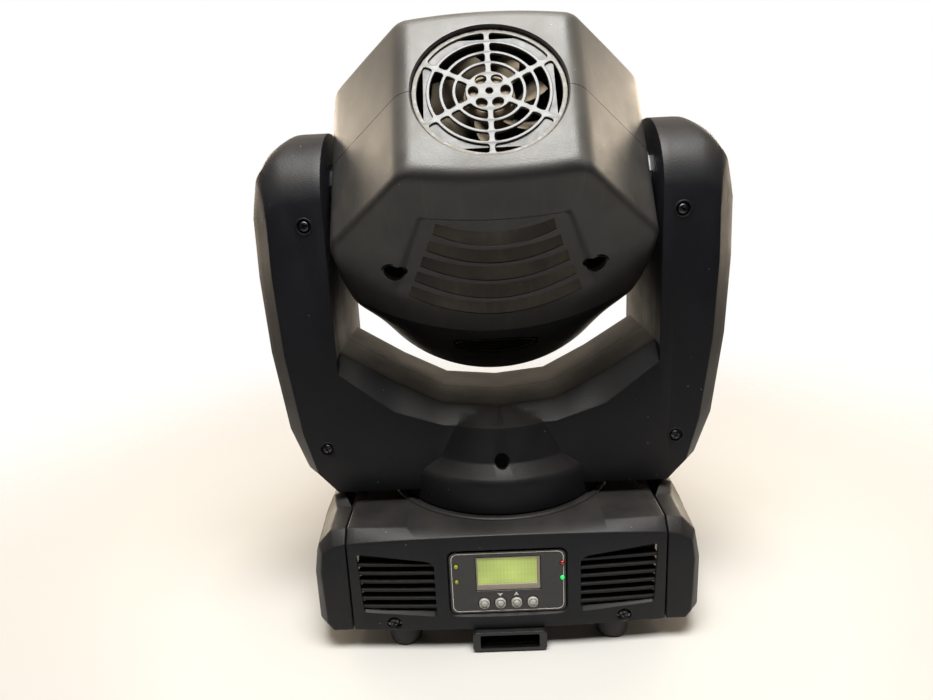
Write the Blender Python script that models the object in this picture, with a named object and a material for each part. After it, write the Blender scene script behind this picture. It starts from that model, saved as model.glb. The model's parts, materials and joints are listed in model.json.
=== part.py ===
"""Moving head light: base, panning yoke and tilting head, as separate named pieces.

Metres, +Z up. The origin is on the pan axis, at the underside of the base plate. The head
rests tilted, with its lens down towards +Y and its fan grille up towards -Y (the front).
"""
import math

import bmesh
import bpy
from mathutils import Matrix, Vector

MM = 0.001
GAP = 0.4 * MM                   # air kept between neighbouring pieces
WALL = 2.6 * MM                  # moulded cover thickness

# Base
BASE_HALF_X = 112 * MM           # middle shell, out to the side covers
BASE_HALF_Y = 98.6 * MM          # front and rear faces at the shell's ends
DECK_HALF_Y = 90 * MM            # flat deck in front of and behind the pan axis
FACE_BULGE = 4.6 * MM            # how far the faces bow out at the middle
FACE_TOP_Z = 69 * MM             # top edge of the front face at the shell's ends
FACE_ARCH = 5.6 * MM             # how far that edge rises at the middle
DECK_Z = 77.6 * MM
FOOT_HEIGHT = 16.7 * MM
FOOT_RADIUS = 12 * MM
FOOT_X = 76 * MM
FOOT_Y = 85 * MM
GRIP_HALF_Y = 47 * MM
COVER_INNER_X = 112.4 * MM       # where the side covers meet the middle shell
BASE_SCREW_X = 82 * MM
BASE_SCREW_Z = 6 * MM

# Yoke
YOKE_HALF_Y = 54.8 * MM
BEVEL_Y = 41 * MM                # the covers are full width between -BEVEL_Y and +BEVEL_Y
ARM_TOP_CENTRE_Z = 291 * MM      # centre of the arms' rounded tops
YOKE_SCREWS = ((127.6 * MM, 122.5 * MM), (127.4 * MM, 285 * MM))

# Head, in its own frame: +X right, +Y along the beam, +Z up when the beam is level
TILT_Z = 304 * MM
HEAD_TILT = math.radians(-35.5)
HEAD_REAR_Y = -104 * MM
COVER_SPLIT_Y = 30 * MM          # where the front cover meets the two rear half covers
FAN_RADIUS = 47.6 * MM
HEAD_SCREW_X = 69 * MM
HEAD_SCREW_Y = -19 * MM
PLATE_Y = 50.5 * MM

# Control panel
PANEL_Y = -103.2 * MM
PANEL_HALF_X = 41 * MM
PANEL_Z = (12.5 * MM, 62 * MM)
BUTTON_Z = 20.8 * MM
BUTTON_X = (-17 * MM, -5.6 * MM, 5.8 * MM, 17.2 * MM)
BUTTON_RADIUS = 3.9 * MM
LED_PLACES = ((-35.8 * MM, 50.6 * MM), (-35.8 * MM, 38.6 * MM),
              (38.2 * MM, 51.0 * MM), (38.2 * MM, 39.2 * MM))
LCD_HALF_X = 22 * MM
LCD_Z = (31 * MM, 57.5 * MM)

# Drives
PAN_BELT_Z = 66 * MM
PAN_MOTOR_XY = (0.0, 62 * MM)
TILT_MOTOR_Z = 205 * MM
BIG_PULLEY_RADIUS = 32 * MM
SMALL_PULLEY_RADIUS = 8 * MM
TILT_BIG_RADIUS = 25 * MM


def clear_scene():
    for obj in list(bpy.data.objects):
        bpy.data.objects.remove(obj, do_unlink=True)


def finish(name, colour, roughness=0.5, metallic=0.0):
    """One Principled material; colour is linear red, green, blue."""
    mat = bpy.data.materials.new(name)
    mat.use_nodes = True
    shader = mat.node_tree.nodes["Principled BSDF"]
    shader.inputs["Base Color"].default_value = (*colour, 1.0)
    shader.inputs["Roughness"].default_value = roughness
    shader.inputs["Metallic"].default_value = metallic
    return mat


def add_object(name, bm, mat, parent=None, smooth=30):
    """Turn a bmesh into a named object with faces pointing out and round faces smooth."""
    bmesh.ops.triangulate(bm, faces=[face for face in bm.faces if len(face.verts) == 4])
    bmesh.ops.recalc_face_normals(bm, faces=bm.faces)
    if bm.calc_volume(signed=True) < 0:
        bmesh.ops.reverse_faces(bm, faces=bm.faces)
    mesh = bpy.data.meshes.new(name)
    bm.to_mesh(mesh)
    bm.free()
    if mat:
        mesh.materials.append(mat)
    mesh.shade_smooth()
    mesh.set_sharp_from_angle(angle=math.radians(smooth))
    obj = bpy.data.objects.new(name, mesh)
    bpy.context.scene.collection.objects.link(obj)
    obj.parent = parent
    return obj


def add_empty(name, location, rotation=(0, 0, 0), parent=None):
    obj = bpy.data.objects.new(name, None)
    obj.location = location
    obj.rotation_euler = rotation
    obj.parent = parent
    bpy.context.scene.collection.objects.link(obj)
    return obj


def loft(sections):
    """A closed solid through rings of equally many points, capped at both ends."""
    bm = bmesh.new()
    rings = [[bm.verts.new(p) for p in ring] for ring in sections]
    count = len(rings[0])
    for low, high in zip(rings, rings[1:]):
        for i in range(count):
            j = (i + 1) % count
            bm.faces.new((low[i], low[j], high[j], high[i]))
    bm.faces.new(rings[0])
    bm.faces.new(list(reversed(rings[-1])))
    return bm


def placed(axis, a, b, along):
    """A point from two coordinates across an axis and one along it."""
    if axis == "X":
        return Vector((along, a, b))
    if axis == "Y":
        return Vector((a, along, b))
    return Vector((a, b, along))


def prism(outline, axis, low, high):
    return loft([[placed(axis, a, b, t) for a, b in outline] for t in (low, high)])


def rectangle(a0, a1, b0, b1):
    return [(a0, b0), (a1, b0), (a1, b1), (a0, b1)]


def circle(radius, count=32, centre=(0.0, 0.0), start=0.0):
    steps = [start + 2 * math.pi * i / count for i in range(count)]
    return [(centre[0] + radius * math.cos(t), centre[1] + radius * math.sin(t)) for t in steps]


def rounded_rectangle(a0, a1, b0, b1, radius, steps=4):
    corners = ((a1 - radius, b1 - radius, 0), (a0 + radius, b1 - radius, 90),
               (a0 + radius, b0 + radius, 180), (a1 - radius, b0 + radius, 270))
    points = []
    for ca, cb, start in corners:
        for i in range(steps + 1):
            t = math.radians(start + 90 * i / steps)
            points.append((ca + radius * math.cos(t), cb + radius * math.sin(t)))
    return points


def turned(profile, axis, count=32, centre=(0.0, 0.0)):
    """A solid turned from a closed profile of (radius, height) points, all off the axis."""
    bm = bmesh.new()
    rings = []
    for i in range(count):
        t = 2 * math.pi * i / count
        ring = []
        for radius, height in profile:
            a = centre[0] + radius * math.cos(t)
            b = centre[1] + radius * math.sin(t)
            ring.append(bm.verts.new(placed(axis, a, b, height)))
        rings.append(ring)
    for i in range(count):
        this, following = rings[i], rings[(i + 1) % count]
        for k in range(len(profile)):
            m = (k + 1) % len(profile)
            bm.faces.new((this[k], this[m], following[m], following[k]))
    return bm


def stack(axis, steps, count=24, centre=(0.0, 0.0)):
    """A stepped round solid on its axis from (radius, height) points, capped at both ends."""
    return loft([[placed(axis, a, b, height) for a, b in circle(radius, count, centre)]
                 for radius, height in steps])


def box(x0, x1, y0, y1, z0, z1):
    return prism(rectangle(x0, x1, y0, y1), "Z", z0, z1)


def cutter(name, bm, parent=None):
    obj = add_object(name, bm, None, parent)
    obj.hide_render = True
    obj.display_type = "WIRE"
    return obj


def combine(obj, tool, operation="DIFFERENCE"):
    mod = obj.modifiers.new(tool.name, "BOOLEAN")
    mod.operation = operation
    mod.solver = "EXACT"
    mod.object = tool


def cut(obj, name, bm, operation="DIFFERENCE"):
    combine(obj, cutter(name, bm, obj.parent), operation)


def joined(shapes):
    """Several closed shapes that don't touch, as one bmesh, for a single cut."""
    whole = bmesh.new()
    for shape in shapes:
        mesh = bpy.data.meshes.new("shape")
        shape.to_mesh(mesh)
        shape.free()
        whole.from_mesh(mesh)
        bpy.data.meshes.remove(mesh)
    return whole


def keep_half(obj, name, axis, side):
    """Cut away all of an object beyond half a gap from the middle plane."""
    far = 250 * MM
    low, high = sorted((side * GAP / 2, -side * far))
    cut(obj, name, prism(rectangle(-far, far, -far, far + 200 * MM), axis, low, high))


def both_ways(points):
    """Mirror a right-hand outline, listed from its first to its last point, to the left."""
    return points + [(-x, z) for x, z in reversed(points) if x > 1e-6]


# ---------------------------------------------------------------- base

def shell_section(x, inset=0.0, floor_z=0.0):
    """The base's middle shell across Y and Z at one x; inset gives the inner skin."""
    crown = 1 - (x / BASE_HALF_X) ** 2
    face = BASE_HALF_Y + FACE_BULGE * crown - inset
    top = FACE_TOP_Z + FACE_ARCH * crown - inset * 0.6
    deck = DECK_HALF_Y + FACE_BULGE * crown * 0.6 - inset * 0.6
    high = DECK_Z - inset
    half = [(face, floor_z), (face, top), (deck, high)]
    ring = [(-y, z) for y, z in half] + [(y, z) for y, z in reversed(half)]
    return [Vector((x, y, z)) for y, z in ring]


def stations(half, count):
    return [half * (2 * i / (count - 1) - 1) for i in range(count)]


def vent_slots(side):
    """Seven level slots of a front vent, with six bars between them."""
    bar = 2.2 * MM
    tops = [12 * MM] + [(19.6 + 6.7 * k) * MM for k in range(6)]
    lows = [z - bar for z in tops[1:]] + [58.4 * MM]
    near, far = sorted((side * 52 * MM, side * 104 * MM))
    return [prism(rectangle(near, far, z0, z1), "Y", -120 * MM, -90 * MM)
            for z0, z1 in zip(tops, lows)]


def make_base(mats):
    black = mats["cover"]
    sections = [shell_section(x) for x in stations(BASE_HALF_X - GAP, 5)]
    shell = add_object("base_shell", loft(sections), black)
    inner = [shell_section(x, WALL, -10 * MM) for x in stations(BASE_HALF_X + 5 * MM, 5)]
    cut(shell, "base_hollow", loft(inner))
    opening = stack("Z", [(72 * MM, DECK_Z - 10 * MM), (72 * MM, DECK_Z + 10 * MM)], 32)
    cut(shell, "pan_opening", opening)
    panel = rounded_rectangle(-PANEL_HALF_X, PANEL_HALF_X, *PANEL_Z, 4 * MM)
    cut(shell, "panel_opening", prism(panel, "Y", -120 * MM, -90 * MM))
    for side, word in ((-1, "left"), (1, "right")):
        cut(shell, f"vent_{word}", joined(vent_slots(side)))
        notch = box(*sorted((side * 104 * MM, side * 120 * MM)), -GRIP_HALF_Y, GRIP_HALF_Y,
                    60 * MM, 100 * MM)
        cut(shell, f"grip_notch_{word}", notch)
        notch = stack("Y", [(4.6 * MM, -120 * MM), (4.6 * MM, -90 * MM)], 14,
                      (side * BASE_SCREW_X, BASE_SCREW_Z))
        cut(shell, f"base_screw_notch_{word}", notch)
        make_side_cover(side, word, black)
        make_base_screw(side, word, mats)
    cut(shell, "inlet_opening", prism(rectangle(-92 * MM, -60 * MM, 20 * MM, 48 * MM), "Y",
                                      90 * MM, 120 * MM))
    for i, x in enumerate((30 * MM, 66 * MM)):
        cut(shell, f"signal_opening_{i}", stack("Y", [(12.2 * MM, 90 * MM), (12.2 * MM, 120 * MM)],
                                                24, (x, 34 * MM)))
    plate = rounded_rectangle(-108 * MM, 108 * MM, -94 * MM, 94 * MM, 6 * MM)
    add_object("base_plate", prism(plate, "Z", 0.0, 2 * MM), mats["steel"])
    for sx, wx in ((-1, "left"), (1, "right")):
        for sy, wy in ((-1, "front"), (1, "rear")):
            make_foot(f"foot_{wy}_{wx}", sx * FOOT_X, sy * FOOT_Y, mats["rubber"])
    make_bracket(mats)
    make_inside_base(mats)
    make_connectors(mats)


def cover_section(y):
    """A side cover's outline at one y: (distance from the middle, height) points."""
    reach = abs(y)
    if reach > 95 * MM:
        tops = ((126, 0), (130, 6), (131, 48), (129, 62), (121, 67), (112.4, 69))
    elif reach > 80 * MM:
        tops = ((133, 0), (137, 6), (137, 44), (133, 66), (124, 76), (112.4, 77.6))
    elif reach > 50 * MM:
        tops = ((140, 0), (144, 6), (143, 42), (133, 70), (124, 78), (112.4, 77.6))
    else:
        tops = ((141, 0), (145, 6), (144, 42), (135, 68), (128, 82), (120, 85))
    return [(COVER_INNER_X, 0.0)] + [(a * MM, b * MM) for a, b in tops]


def make_side_cover(side, word, mat):
    ends = (GRIP_HALF_Y, 60 * MM, 90 * MM, BASE_HALF_Y)
    rings = []
    for y in [-end for end in reversed(ends)] + list(ends):
        rings.append([Vector((side * x, y, z)) for x, z in cover_section(y)])
    cover = add_object(f"side_cover_{word}", loft(rings), mat)
    hollow = []
    for y, reach in ((-92, 128), (-60, 138), (60, 138), (92, 128)):
        ring = ((100, -5), (reach, -5), (reach, 44), (119, 64), (100, 64))
        hollow.append([Vector((side * x * MM, y * MM, z * MM)) for x, z in ring])
    cut(cover, f"side_hollow_{word}", loft(hollow))
    grip = [(100, 66.6), (120, 66.6), (120, 100), (100, 100)]
    slot = prism([(side * x * MM, z * MM) for x, z in grip], "Y", -44 * MM, 44 * MM)
    cut(cover, f"grip_slot_{word}", slot)


def make_foot(name, x, y, mat):
    steps = [(FOOT_RADIUS - 1.5 * MM, -FOOT_HEIGHT), (FOOT_RADIUS, -FOOT_HEIGHT + 1.5 * MM),
             (FOOT_RADIUS, -GAP)]
    foot = add_object(name, stack("Z", steps, 24), mat)
    foot.location = (x, y, 0)


def screw_solid(radius, head, length):
    """A domed screw head with its face at 0, and its shank running along +Y."""
    steps = [(radius * 0.8, 0.0), (radius, 0.3 * head), (radius, head), (radius * 0.45, head),
             (radius * 0.45, length)]
    return stack("Y", steps, 10)


def make_screw(name, location, mat, radius, length, parent=None):
    """A pan-head screw with a cross recess, its head facing -Y."""
    bm = screw_solid(radius, 2 * MM, length)
    screw = add_object(name, bm, mat, parent)
    for i, (a, b) in enumerate(((0.16, 0.6), (0.6, 0.16))):
        outline = rectangle(-a * radius, a * radius, -b * radius, b * radius)
        tool = cutter(f"{name}_recess_{i}", prism(outline, "Y", -2 * MM, 0.9 * MM), screw)
        combine(screw, tool)
    screw.location = location
    return screw


def make_base_screw(side, word, mats):
    make_screw(f"base_screw_{word}", (side * BASE_SCREW_X, -100.9 * MM, BASE_SCREW_Z),
               mats["screw"], 3.4 * MM, 9 * MM)


def make_bracket(mats):
    """The clamp bracket: a channel across the underside, front to rear."""
    web = 53 * MM / 2
    bottom = -15.6 * MM
    thick = 2.5 * MM
    outer = rounded_rectangle(-web, web, bottom, -GAP, 3 * MM, 3)
    bracket = add_object("clamp_bracket", prism(outer, "Y", -107 * MM, 107 * MM), mats["bracket"])
    hollow = rectangle(-web + thick + 3 * MM, web - thick - 3 * MM, bottom + thick, -thick)
    cut(bracket, "bracket_hollow", prism(hollow, "Y", -120 * MM, 120 * MM))
    cut(bracket, "bracket_bolt_hole", stack("Z", [(6.5 * MM, -30 * MM), (6.5 * MM, -10 * MM)], 24))


def make_inside_base(mats):
    supply = box(-104 * MM, -40 * MM, -40 * MM, 60 * MM, 3 * MM, 40 * MM)
    add_object("power_supply", supply, mats["zinc"])
    post = stack("Z", [(20 * MM, 2 * MM + GAP), (20 * MM, 46 * MM), (6 * MM, 46 * MM), (6 * MM, 48 * MM)])
    motor = add_object("pan_motor", post, mats["motor"])
    motor.location = (PAN_MOTOR_XY[0], PAN_MOTOR_XY[1], 0)
    shaft = stack("Z", [(2.5 * MM, 47 * MM), (2.5 * MM, 66 * MM)], 12)
    spindle = add_object("pan_motor_shaft_tool", shaft, None)
    spindle.location = motor.location
    spindle.hide_render = True
    spindle.display_type = "WIRE"
    combine(motor, spindle, "UNION")
    bearing = [(37 * MM, 2 * MM + GAP), (37 * MM, 57 * MM), (20 * MM, 57 * MM), (20 * MM, 2 * MM + GAP)]
    add_object("pan_bearing", turned(bearing, "Z", 20), mats["zinc"])
    board = prism(rectangle(-46 * MM, 46 * MM, 8 * MM, 66 * MM), "Y", -89 * MM, -87.4 * MM)
    add_object("control_board", board, mats["board"])
    belt_solid("pan_belt", "Z", (0.0, 0.0), BIG_PULLEY_RADIUS, PAN_MOTOR_XY, SMALL_PULLEY_RADIUS,
               PAN_BELT_Z - 5 * MM, PAN_BELT_Z + 1 * MM, mats["rubber"], None)


def belt_path(big_at, big, small_at, small, count=16):
    """The open belt's outline round two pulleys, as points of one closed loop."""
    axis = Vector(small_at) - Vector(big_at)
    heading = math.atan2(axis.y, axis.x)
    lean = math.acos((big - small) / axis.length)
    points = []
    for i in range(count + 1):
        t = heading + lean + (2 * math.pi - 2 * lean) * i / count
        points.append((big_at[0] + big * math.cos(t), big_at[1] + big * math.sin(t)))
    half = count // 2
    for i in range(half + 1):
        t = heading - lean + 2 * lean * i / half
        points.append((small_at[0] + small * math.cos(t), small_at[1] + small * math.sin(t)))
    return points


def belt_solid(name, axis, big_at, big, small_at, small, low, high, mat, parent):
    outer = belt_path(big_at, big + GAP + 1.6 * MM, small_at, small + GAP + 1.6 * MM)
    inner = belt_path(big_at, big + GAP, small_at, small + GAP)
    bm = bmesh.new()
    rings = []
    for outline, along in ((outer, low), (outer, high), (inner, high), (inner, low)):
        rings.append([bm.verts.new(placed(axis, a, b, along)) for a, b in outline])
    count = len(outer)
    for k in range(4):
        this, following = rings[k], rings[(k + 1) % 4]
        for i in range(count):
            j = (i + 1) % count
            bm.faces.new((this[i], this[j], following[j], following[i]))
    return add_object(name, bm, mat, parent)


def make_connectors(mats):
    inlet = prism(rectangle(-91.6 * MM, -60.4 * MM, 20.4 * MM, 47.6 * MM), "Y", 78 * MM, 100.5 * MM)
    power = add_object("power_inlet", inlet, mats["trim"])
    cut(power, "inlet_mouth", prism(rectangle(-88 * MM, -64 * MM, 24 * MM, 40 * MM), "Y",
                                    84 * MM, 120 * MM))
    for name, x in (("signal_in_socket", 30 * MM), ("signal_out_socket", 66 * MM)):
        profile = [(11.8 * MM, 80 * MM), (11.8 * MM, 105 * MM), (8.6 * MM, 105 * MM), (8.6 * MM, 90 * MM),
                   (0.5 * MM, 90 * MM), (0.5 * MM, 80 * MM)]
        add_object(name, turned(profile, "Y", 24, (x, 34 * MM)), mats["zinc"])


def make_panel(mats):
    outline = rounded_rectangle(-PANEL_HALF_X + GAP, PANEL_HALF_X - GAP, PANEL_Z[0] + GAP,
                                PANEL_Z[1] - GAP, 4 * MM)
    panel = add_object("control_panel", prism(outline, "Y", PANEL_Y, PANEL_Y + 3 * MM), mats["trim"])
    window = rectangle(-LCD_HALF_X, LCD_HALF_X, *LCD_Z)
    cut(panel, "lcd_window", prism(window, "Y", PANEL_Y - 9 * MM, PANEL_Y + 9 * MM))
    for i, x in enumerate(BUTTON_X):
        hole = stack("Y", [(BUTTON_RADIUS + 0.35 * MM, PANEL_Y - 9 * MM),
                           (BUTTON_RADIUS + 0.35 * MM, PANEL_Y + 9 * MM)], 14, (x, BUTTON_Z))
        cut(panel, f"button_hole_{i}", hole)
    for i, place in enumerate(LED_PLACES):
        hole = stack("Y", [(1.9 * MM, PANEL_Y - 9 * MM), (1.9 * MM, PANEL_Y + 9 * MM)], 8, place)
        cut(panel, f"led_hole_{i}", hole)
        led = stack("Y", [(0.7 * MM, PANEL_Y - 1.3 * MM), (1.3 * MM, PANEL_Y - 0.7 * MM),
                          (1.5 * MM, PANEL_Y), (1.5 * MM, PANEL_Y + 6 * MM)], 8, place)
        colour = ("led_amber", "led_amber", "led_red", "led_green")[i]
        name = ("led_signal", "led_master", "led_slave", "led_sound")[i]
        add_object(name, led, mats[colour])
    glass = prism(rectangle(-LCD_HALF_X + GAP, LCD_HALF_X - GAP, LCD_Z[0] + GAP, LCD_Z[1] - GAP), "Y",
                  PANEL_Y + 1 * MM, PANEL_Y + 7 * MM)
    add_object("lcd_module", glass, mats["lcd"])
    for name, x in zip(("button_menu", "button_down", "button_up", "button_enter"), BUTTON_X):
        steps = [(BUTTON_RADIUS - 0.6 * MM, PANEL_Y - 1.6 * MM), (BUTTON_RADIUS, PANEL_Y - 1.0 * MM),
                 (BUTTON_RADIUS, PANEL_Y + 4.5 * MM)]
        button = add_object(name, stack("Y", steps, 14), mats["button"])
        button.location = (x, 0, BUTTON_Z)


# ---------------------------------------------------------------- yoke

def yoke_outline(face):
    """The yoke from the front: outside edge up, then the inside edge back to the middle.

    face is 1 for the narrower front face and 0 for the full width behind its bevel.
    """
    outside = [(123.5 - 1.0 * face, 87.3), (146 - 10 * face, 103), (157 - 13 * face, 135),
               (164 - 13 * face, 195), (166 - 13 * face, 250), (165 - 13 * face, 292),
               (159 - 11 * face, 322), (150 - 10 * face, 338), (138 - 8 * face, 348), (114.3, 348)]
    inside = [(114.3, 192 - 12.5 * face), (76, 168 - 19 * face), (41, 150 - 12.5 * face),
              (0, 146 - 11 * face)]
    return [(x * MM, z * MM) for x, z in outside + inside]


def yoke_ring(y, face, inset=0.0):
    ring = both_ways(yoke_outline(face))
    if inset:
        ring = inset_outline(ring, inset)
    return [Vector((x, y, z)) for x, z in ring]


def inset_outline(ring, distance):
    """Move each edge of a closed outline inwards and meet the moved edges again."""
    area = sum(a[0] * b[1] - b[0] * a[1] for a, b in zip(ring, ring[1:] + ring[:1]))
    turn = 1 if area > 0 else -1
    count = len(ring)
    moved = []
    for i in range(count):
        before, here, after = (Vector(ring[(i + k) % count]) for k in (-1, 0, 1))
        first = (here - before).normalized()
        second = (after - here).normalized()
        n1 = Vector((-first.y, first.x)) * turn
        n2 = Vector((-second.y, second.x)) * turn
        middle = (n1 + n2).normalized()
        moved.append(tuple(here + middle * distance / max(0.35, middle.dot(n1))))
    return moved


def arm_profile(half_y, radius, low_z):
    """The yoke from the side: straight sides and a rounded top."""
    points = [(-half_y, low_z), (half_y, low_z)]
    for i in range(13):
        t = math.pi * i / 12
        points.append((half_y * math.cos(t), ARM_TOP_CENTRE_Z + radius * math.sin(t)))
    return points


def bell_profile(shrink=0.0):
    """Radius and height points of the turret that covers the pan hub."""
    points = [(82, 79), (81.5, 100), (79.5, 104.5), (70.5, 113), (63.5, 137), (41, 145.9)]
    return [((r - shrink / MM) * MM, z * MM) for r, z in points]


def make_yoke_cover(name, side, mat, parent):
    """One moulded half of the yoke; side is -1 for the front half and +1 for the rear."""
    rings = [yoke_ring(side * YOKE_HALF_Y, 1), yoke_ring(side * BEVEL_Y, 0), yoke_ring(-side * 9 * MM, 0)]
    cover = add_object(name, loft(rings), mat, parent)
    top = prism(arm_profile(YOKE_HALF_Y + 1 * MM, 55.5 * MM, 60 * MM), "X", -200 * MM, 200 * MM)
    cut(cover, f"{name}_rounding", top, "INTERSECT")
    cut(cover, f"{name}_turret", stack("Z", bell_profile(), 28), "UNION")
    inner = [yoke_ring(side * (YOKE_HALF_Y - WALL), 1, WALL), yoke_ring(side * (BEVEL_Y - WALL / 2), 0, WALL),
             yoke_ring(-side * 16 * MM, 0, WALL)]
    hollow = cutter(f"{name}_hollow", loft(inner), parent)
    inner_top = prism(arm_profile(YOKE_HALF_Y - WALL, 53 * MM, 60 * MM), "X", -200 * MM, 200 * MM)
    combine(hollow, cutter(f"{name}_hollow_rounding", inner_top, parent), "INTERSECT")
    inner_bell = [(r - WALL, z - 1 * MM) for r, z in bell_profile()]
    inner_bell[0] = (inner_bell[0][0], 70 * MM)
    inner_bell[-1] = (inner_bell[-1][0], 142 * MM)
    combine(hollow, cutter(f"{name}_turret_hollow", stack("Z", inner_bell, 28), parent), "UNION")
    combine(cover, hollow)
    holes = [stack("X", [(20.5 * MM, arm * 105 * MM), (20.5 * MM, arm * 120 * MM)], 30, (0.0, TILT_Z))
             for arm in (-1, 1)]
    cut(cover, f"{name}_shaft_holes", joined(holes))
    keep_half(cover, f"{name}_half", "Y", side)
    if side < 0:
        port = stack("Y", [(5 * MM, -90 * MM), (5 * MM, -60 * MM)], 20, (0.0, 114.7 * MM))
        cut(cover, f"{name}_port", port)
    return cover


def make_yoke(mats, yoke):
    make_yoke_cover("yoke_front_cover", -1, mats["cover"], yoke)
    make_yoke_cover("yoke_rear_cover", 1, mats["cover"], yoke)
    spots = [(side * x, z) for side in (-1, 1) for x, z in YOKE_SCREWS]
    words = ("lower_left", "upper_left", "lower_right", "upper_right")
    sinks = []
    for word, (x, z) in zip(words, spots):
        name = f"yoke_screw_{word}"
        sinks.append(stack("Y", [(4 * MM, -70 * MM), (4 * MM, -45 * MM)], 12, (x, z)))
        make_screw(name, (x, -YOKE_HALF_Y + 0.3 * MM, z), mats["screw"], 3.4 * MM, 12 * MM, yoke)
    cut(bpy.data.objects["yoke_front_cover"], "yoke_screw_sinks", joined(sinks))
    make_yoke_frame(mats, yoke)


def make_yoke_frame(mats, yoke):
    """The steel frame inside the covers: a bent strap that carries hub, motor and bearings."""
    outer = [(-123, 112), (123, 112), (128, 118), (128, 325), (-128, 325), (-128, 118)]
    inner = [(-124, 126), (-118, 116), (118, 116), (124, 126), (124, 340), (-124, 340)]
    strap = prism([(x * MM, z * MM) for x, z in outer], "Y", -20 * MM, 20 * MM)
    frame = add_object("yoke_frame", strap, mats["zinc"], yoke)
    cut(frame, "frame_inside", prism([(x * MM, z * MM) for x, z in inner], "Y", -40 * MM, 40 * MM))
    cut(frame, "frame_bore", stack("X", [(15.4 * MM, -150 * MM), (15.4 * MM, 150 * MM)], 20, (0.0, TILT_Z)))
    cut(frame, "frame_cable_bore", stack("Z", [(12 * MM, 100 * MM), (12 * MM, 130 * MM)], 24))
    hub = [(12 * MM, 4 * MM), (19.6 * MM, 4 * MM), (19.6 * MM, 57.4 * MM),
           (BIG_PULLEY_RADIUS, 57.4 * MM), (BIG_PULLEY_RADIUS, 70 * MM), (24 * MM, 70 * MM),
           (24 * MM, 112 * MM - GAP), (12 * MM, 112 * MM - GAP)]
    add_object("pan_pulley", turned(hub, "Z", 20), mats["pulley"], yoke)
    for side, word in ((-1, "left"), (1, "right")):
        ring = [(10.1 * MM, side * 119 * MM), (15 * MM, side * 119 * MM), (15 * MM, side * 130 * MM),
                (10.1 * MM, side * 130 * MM)]
        add_object(f"tilt_bearing_{word}", turned(ring, "X", 32, (0.0, TILT_Z)), mats["steel"], yoke)
    can = stack("X", [(17 * MM, 128.4 * MM), (17 * MM, 140 * MM), (2.5 * MM, 140 * MM), (2.5 * MM, 152 * MM)],
                24, (0.0, TILT_MOTOR_Z))
    add_object("tilt_motor", can, mats["motor"], yoke)
    belt_solid("tilt_belt", "X", (0.0, TILT_Z), TILT_BIG_RADIUS, (0.0, TILT_MOTOR_Z), SMALL_PULLEY_RADIUS,
               144 * MM, 150 * MM, mats["rubber"], yoke)


# ---------------------------------------------------------------- head

def head_quarter(half_x, corner_z, crown_z, blend, radius):
    """A quarter of the head's section, side to crown: flat side, sharp corner, bowed crown.

    blend turns it into a circle of the radius given.
    """
    flat, bowed, corner = 2, 6, math.radians(33)
    points = []
    for k in range(flat):
        t = k / flat
        angle = corner * t
        points.append((half_x, corner_z * t, angle))
    for k in range(bowed + 1):
        t = k / bowed
        rise = (crown_z - corner_z) * (1 - (1 - t) ** 2)
        points.append((half_x * (1 - t), corner_z + rise, corner + (math.pi / 2 - corner) * t))
    out = []
    for x, z, angle in points:
        out.append((x * (1 - blend) + radius * math.cos(angle) * blend,
                    z * (1 - blend) + radius * math.sin(angle) * blend))
    return out


HEAD_STATIONS = (             # along the beam: half width, corner, crown, blend, round radius
    (-104, 54, 58, 62, 0.0, 100),
    (-68, 82.5, 61.5, 73, 0.0, 100),
    (-32, 111, 64, 84, 0.0, 112),
    (0, 111, 70, 95, 0.05, 112),
    (42, 111, 76, 104, 0.3, 112),
    (72, 110, 70, 108, 0.75, 112),
    (96, 108, 64, 108, 1.0, 110),
    (102, 106, 60, 106, 1.0, 106.5),
)


def between(station_a, station_b, y):
    t = (y - station_a[0]) / (station_b[0] - station_a[0])
    return tuple(a + (b - a) * t for a, b in zip(station_a, station_b))


def stations_between(low, high):
    """The head's stations from one place along the beam to another, ends included."""
    picked = []
    for a, b in zip(HEAD_STATIONS, HEAD_STATIONS[1:]):
        for y in (low, high):
            if a[0] <= y <= b[0]:
                picked.append(between(a, b, y))
        if low < a[0] < high:
            picked.append(a)
    unique = {round(s[0], 3): s for s in picked}
    return [unique[key] for key in sorted(unique)]


def head_full_ring(station, inset=0.0):
    y, half_x, corner, crown, blend, radius = station
    quarter = head_quarter(half_x - inset, corner - inset, crown - inset, blend, radius - inset)
    upper = quarter + [(-x, z) for x, z in reversed(quarter[:-1])]
    lower = [(x, -z) for x, z in reversed(upper[1:-1])]
    return [Vector((x * MM, y * MM, z * MM)) for x, z in upper + lower]


def make_half_cover(name, side, mat, head):
    split = COVER_SPLIT_Y / MM
    rings = [head_full_ring(s) for s in stations_between(-104, split - GAP / MM)]
    cover = add_object(name, loft(rings), mat, head)
    inner = [head_full_ring(s, WALL / MM) for s in stations_between(-101, split)]
    last = [Vector((p.x, p.y + 10 * MM, p.z)) for p in inner[-1]]
    cut(cover, f"{name}_hollow", loft(inner + [last]))
    cut(cover, f"{name}_fan_hole", stack("Y", [(FAN_RADIUS, -120 * MM), (FAN_RADIUS, -90 * MM)], 48))
    holes = [stack("X", [(21 * MM, arm * 100 * MM), (21 * MM, arm * 120 * MM)], 30) for arm in (-1, 1)]
    cut(cover, f"{name}_shaft_holes", joined(holes))
    keep_half(cover, f"{name}_half", "Z", side)
    if side < 0:
        sinks = [stack("Z", [(5.4 * MM, -110 * MM), (5.4 * MM, -60 * MM)], 20,
                       (arm * HEAD_SCREW_X, HEAD_SCREW_Y)) for arm in (-1, 1)]
        cut(cover, "underside_openings", joined([louvre(i) for i in range(5)] + sinks))
    return cover


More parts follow.
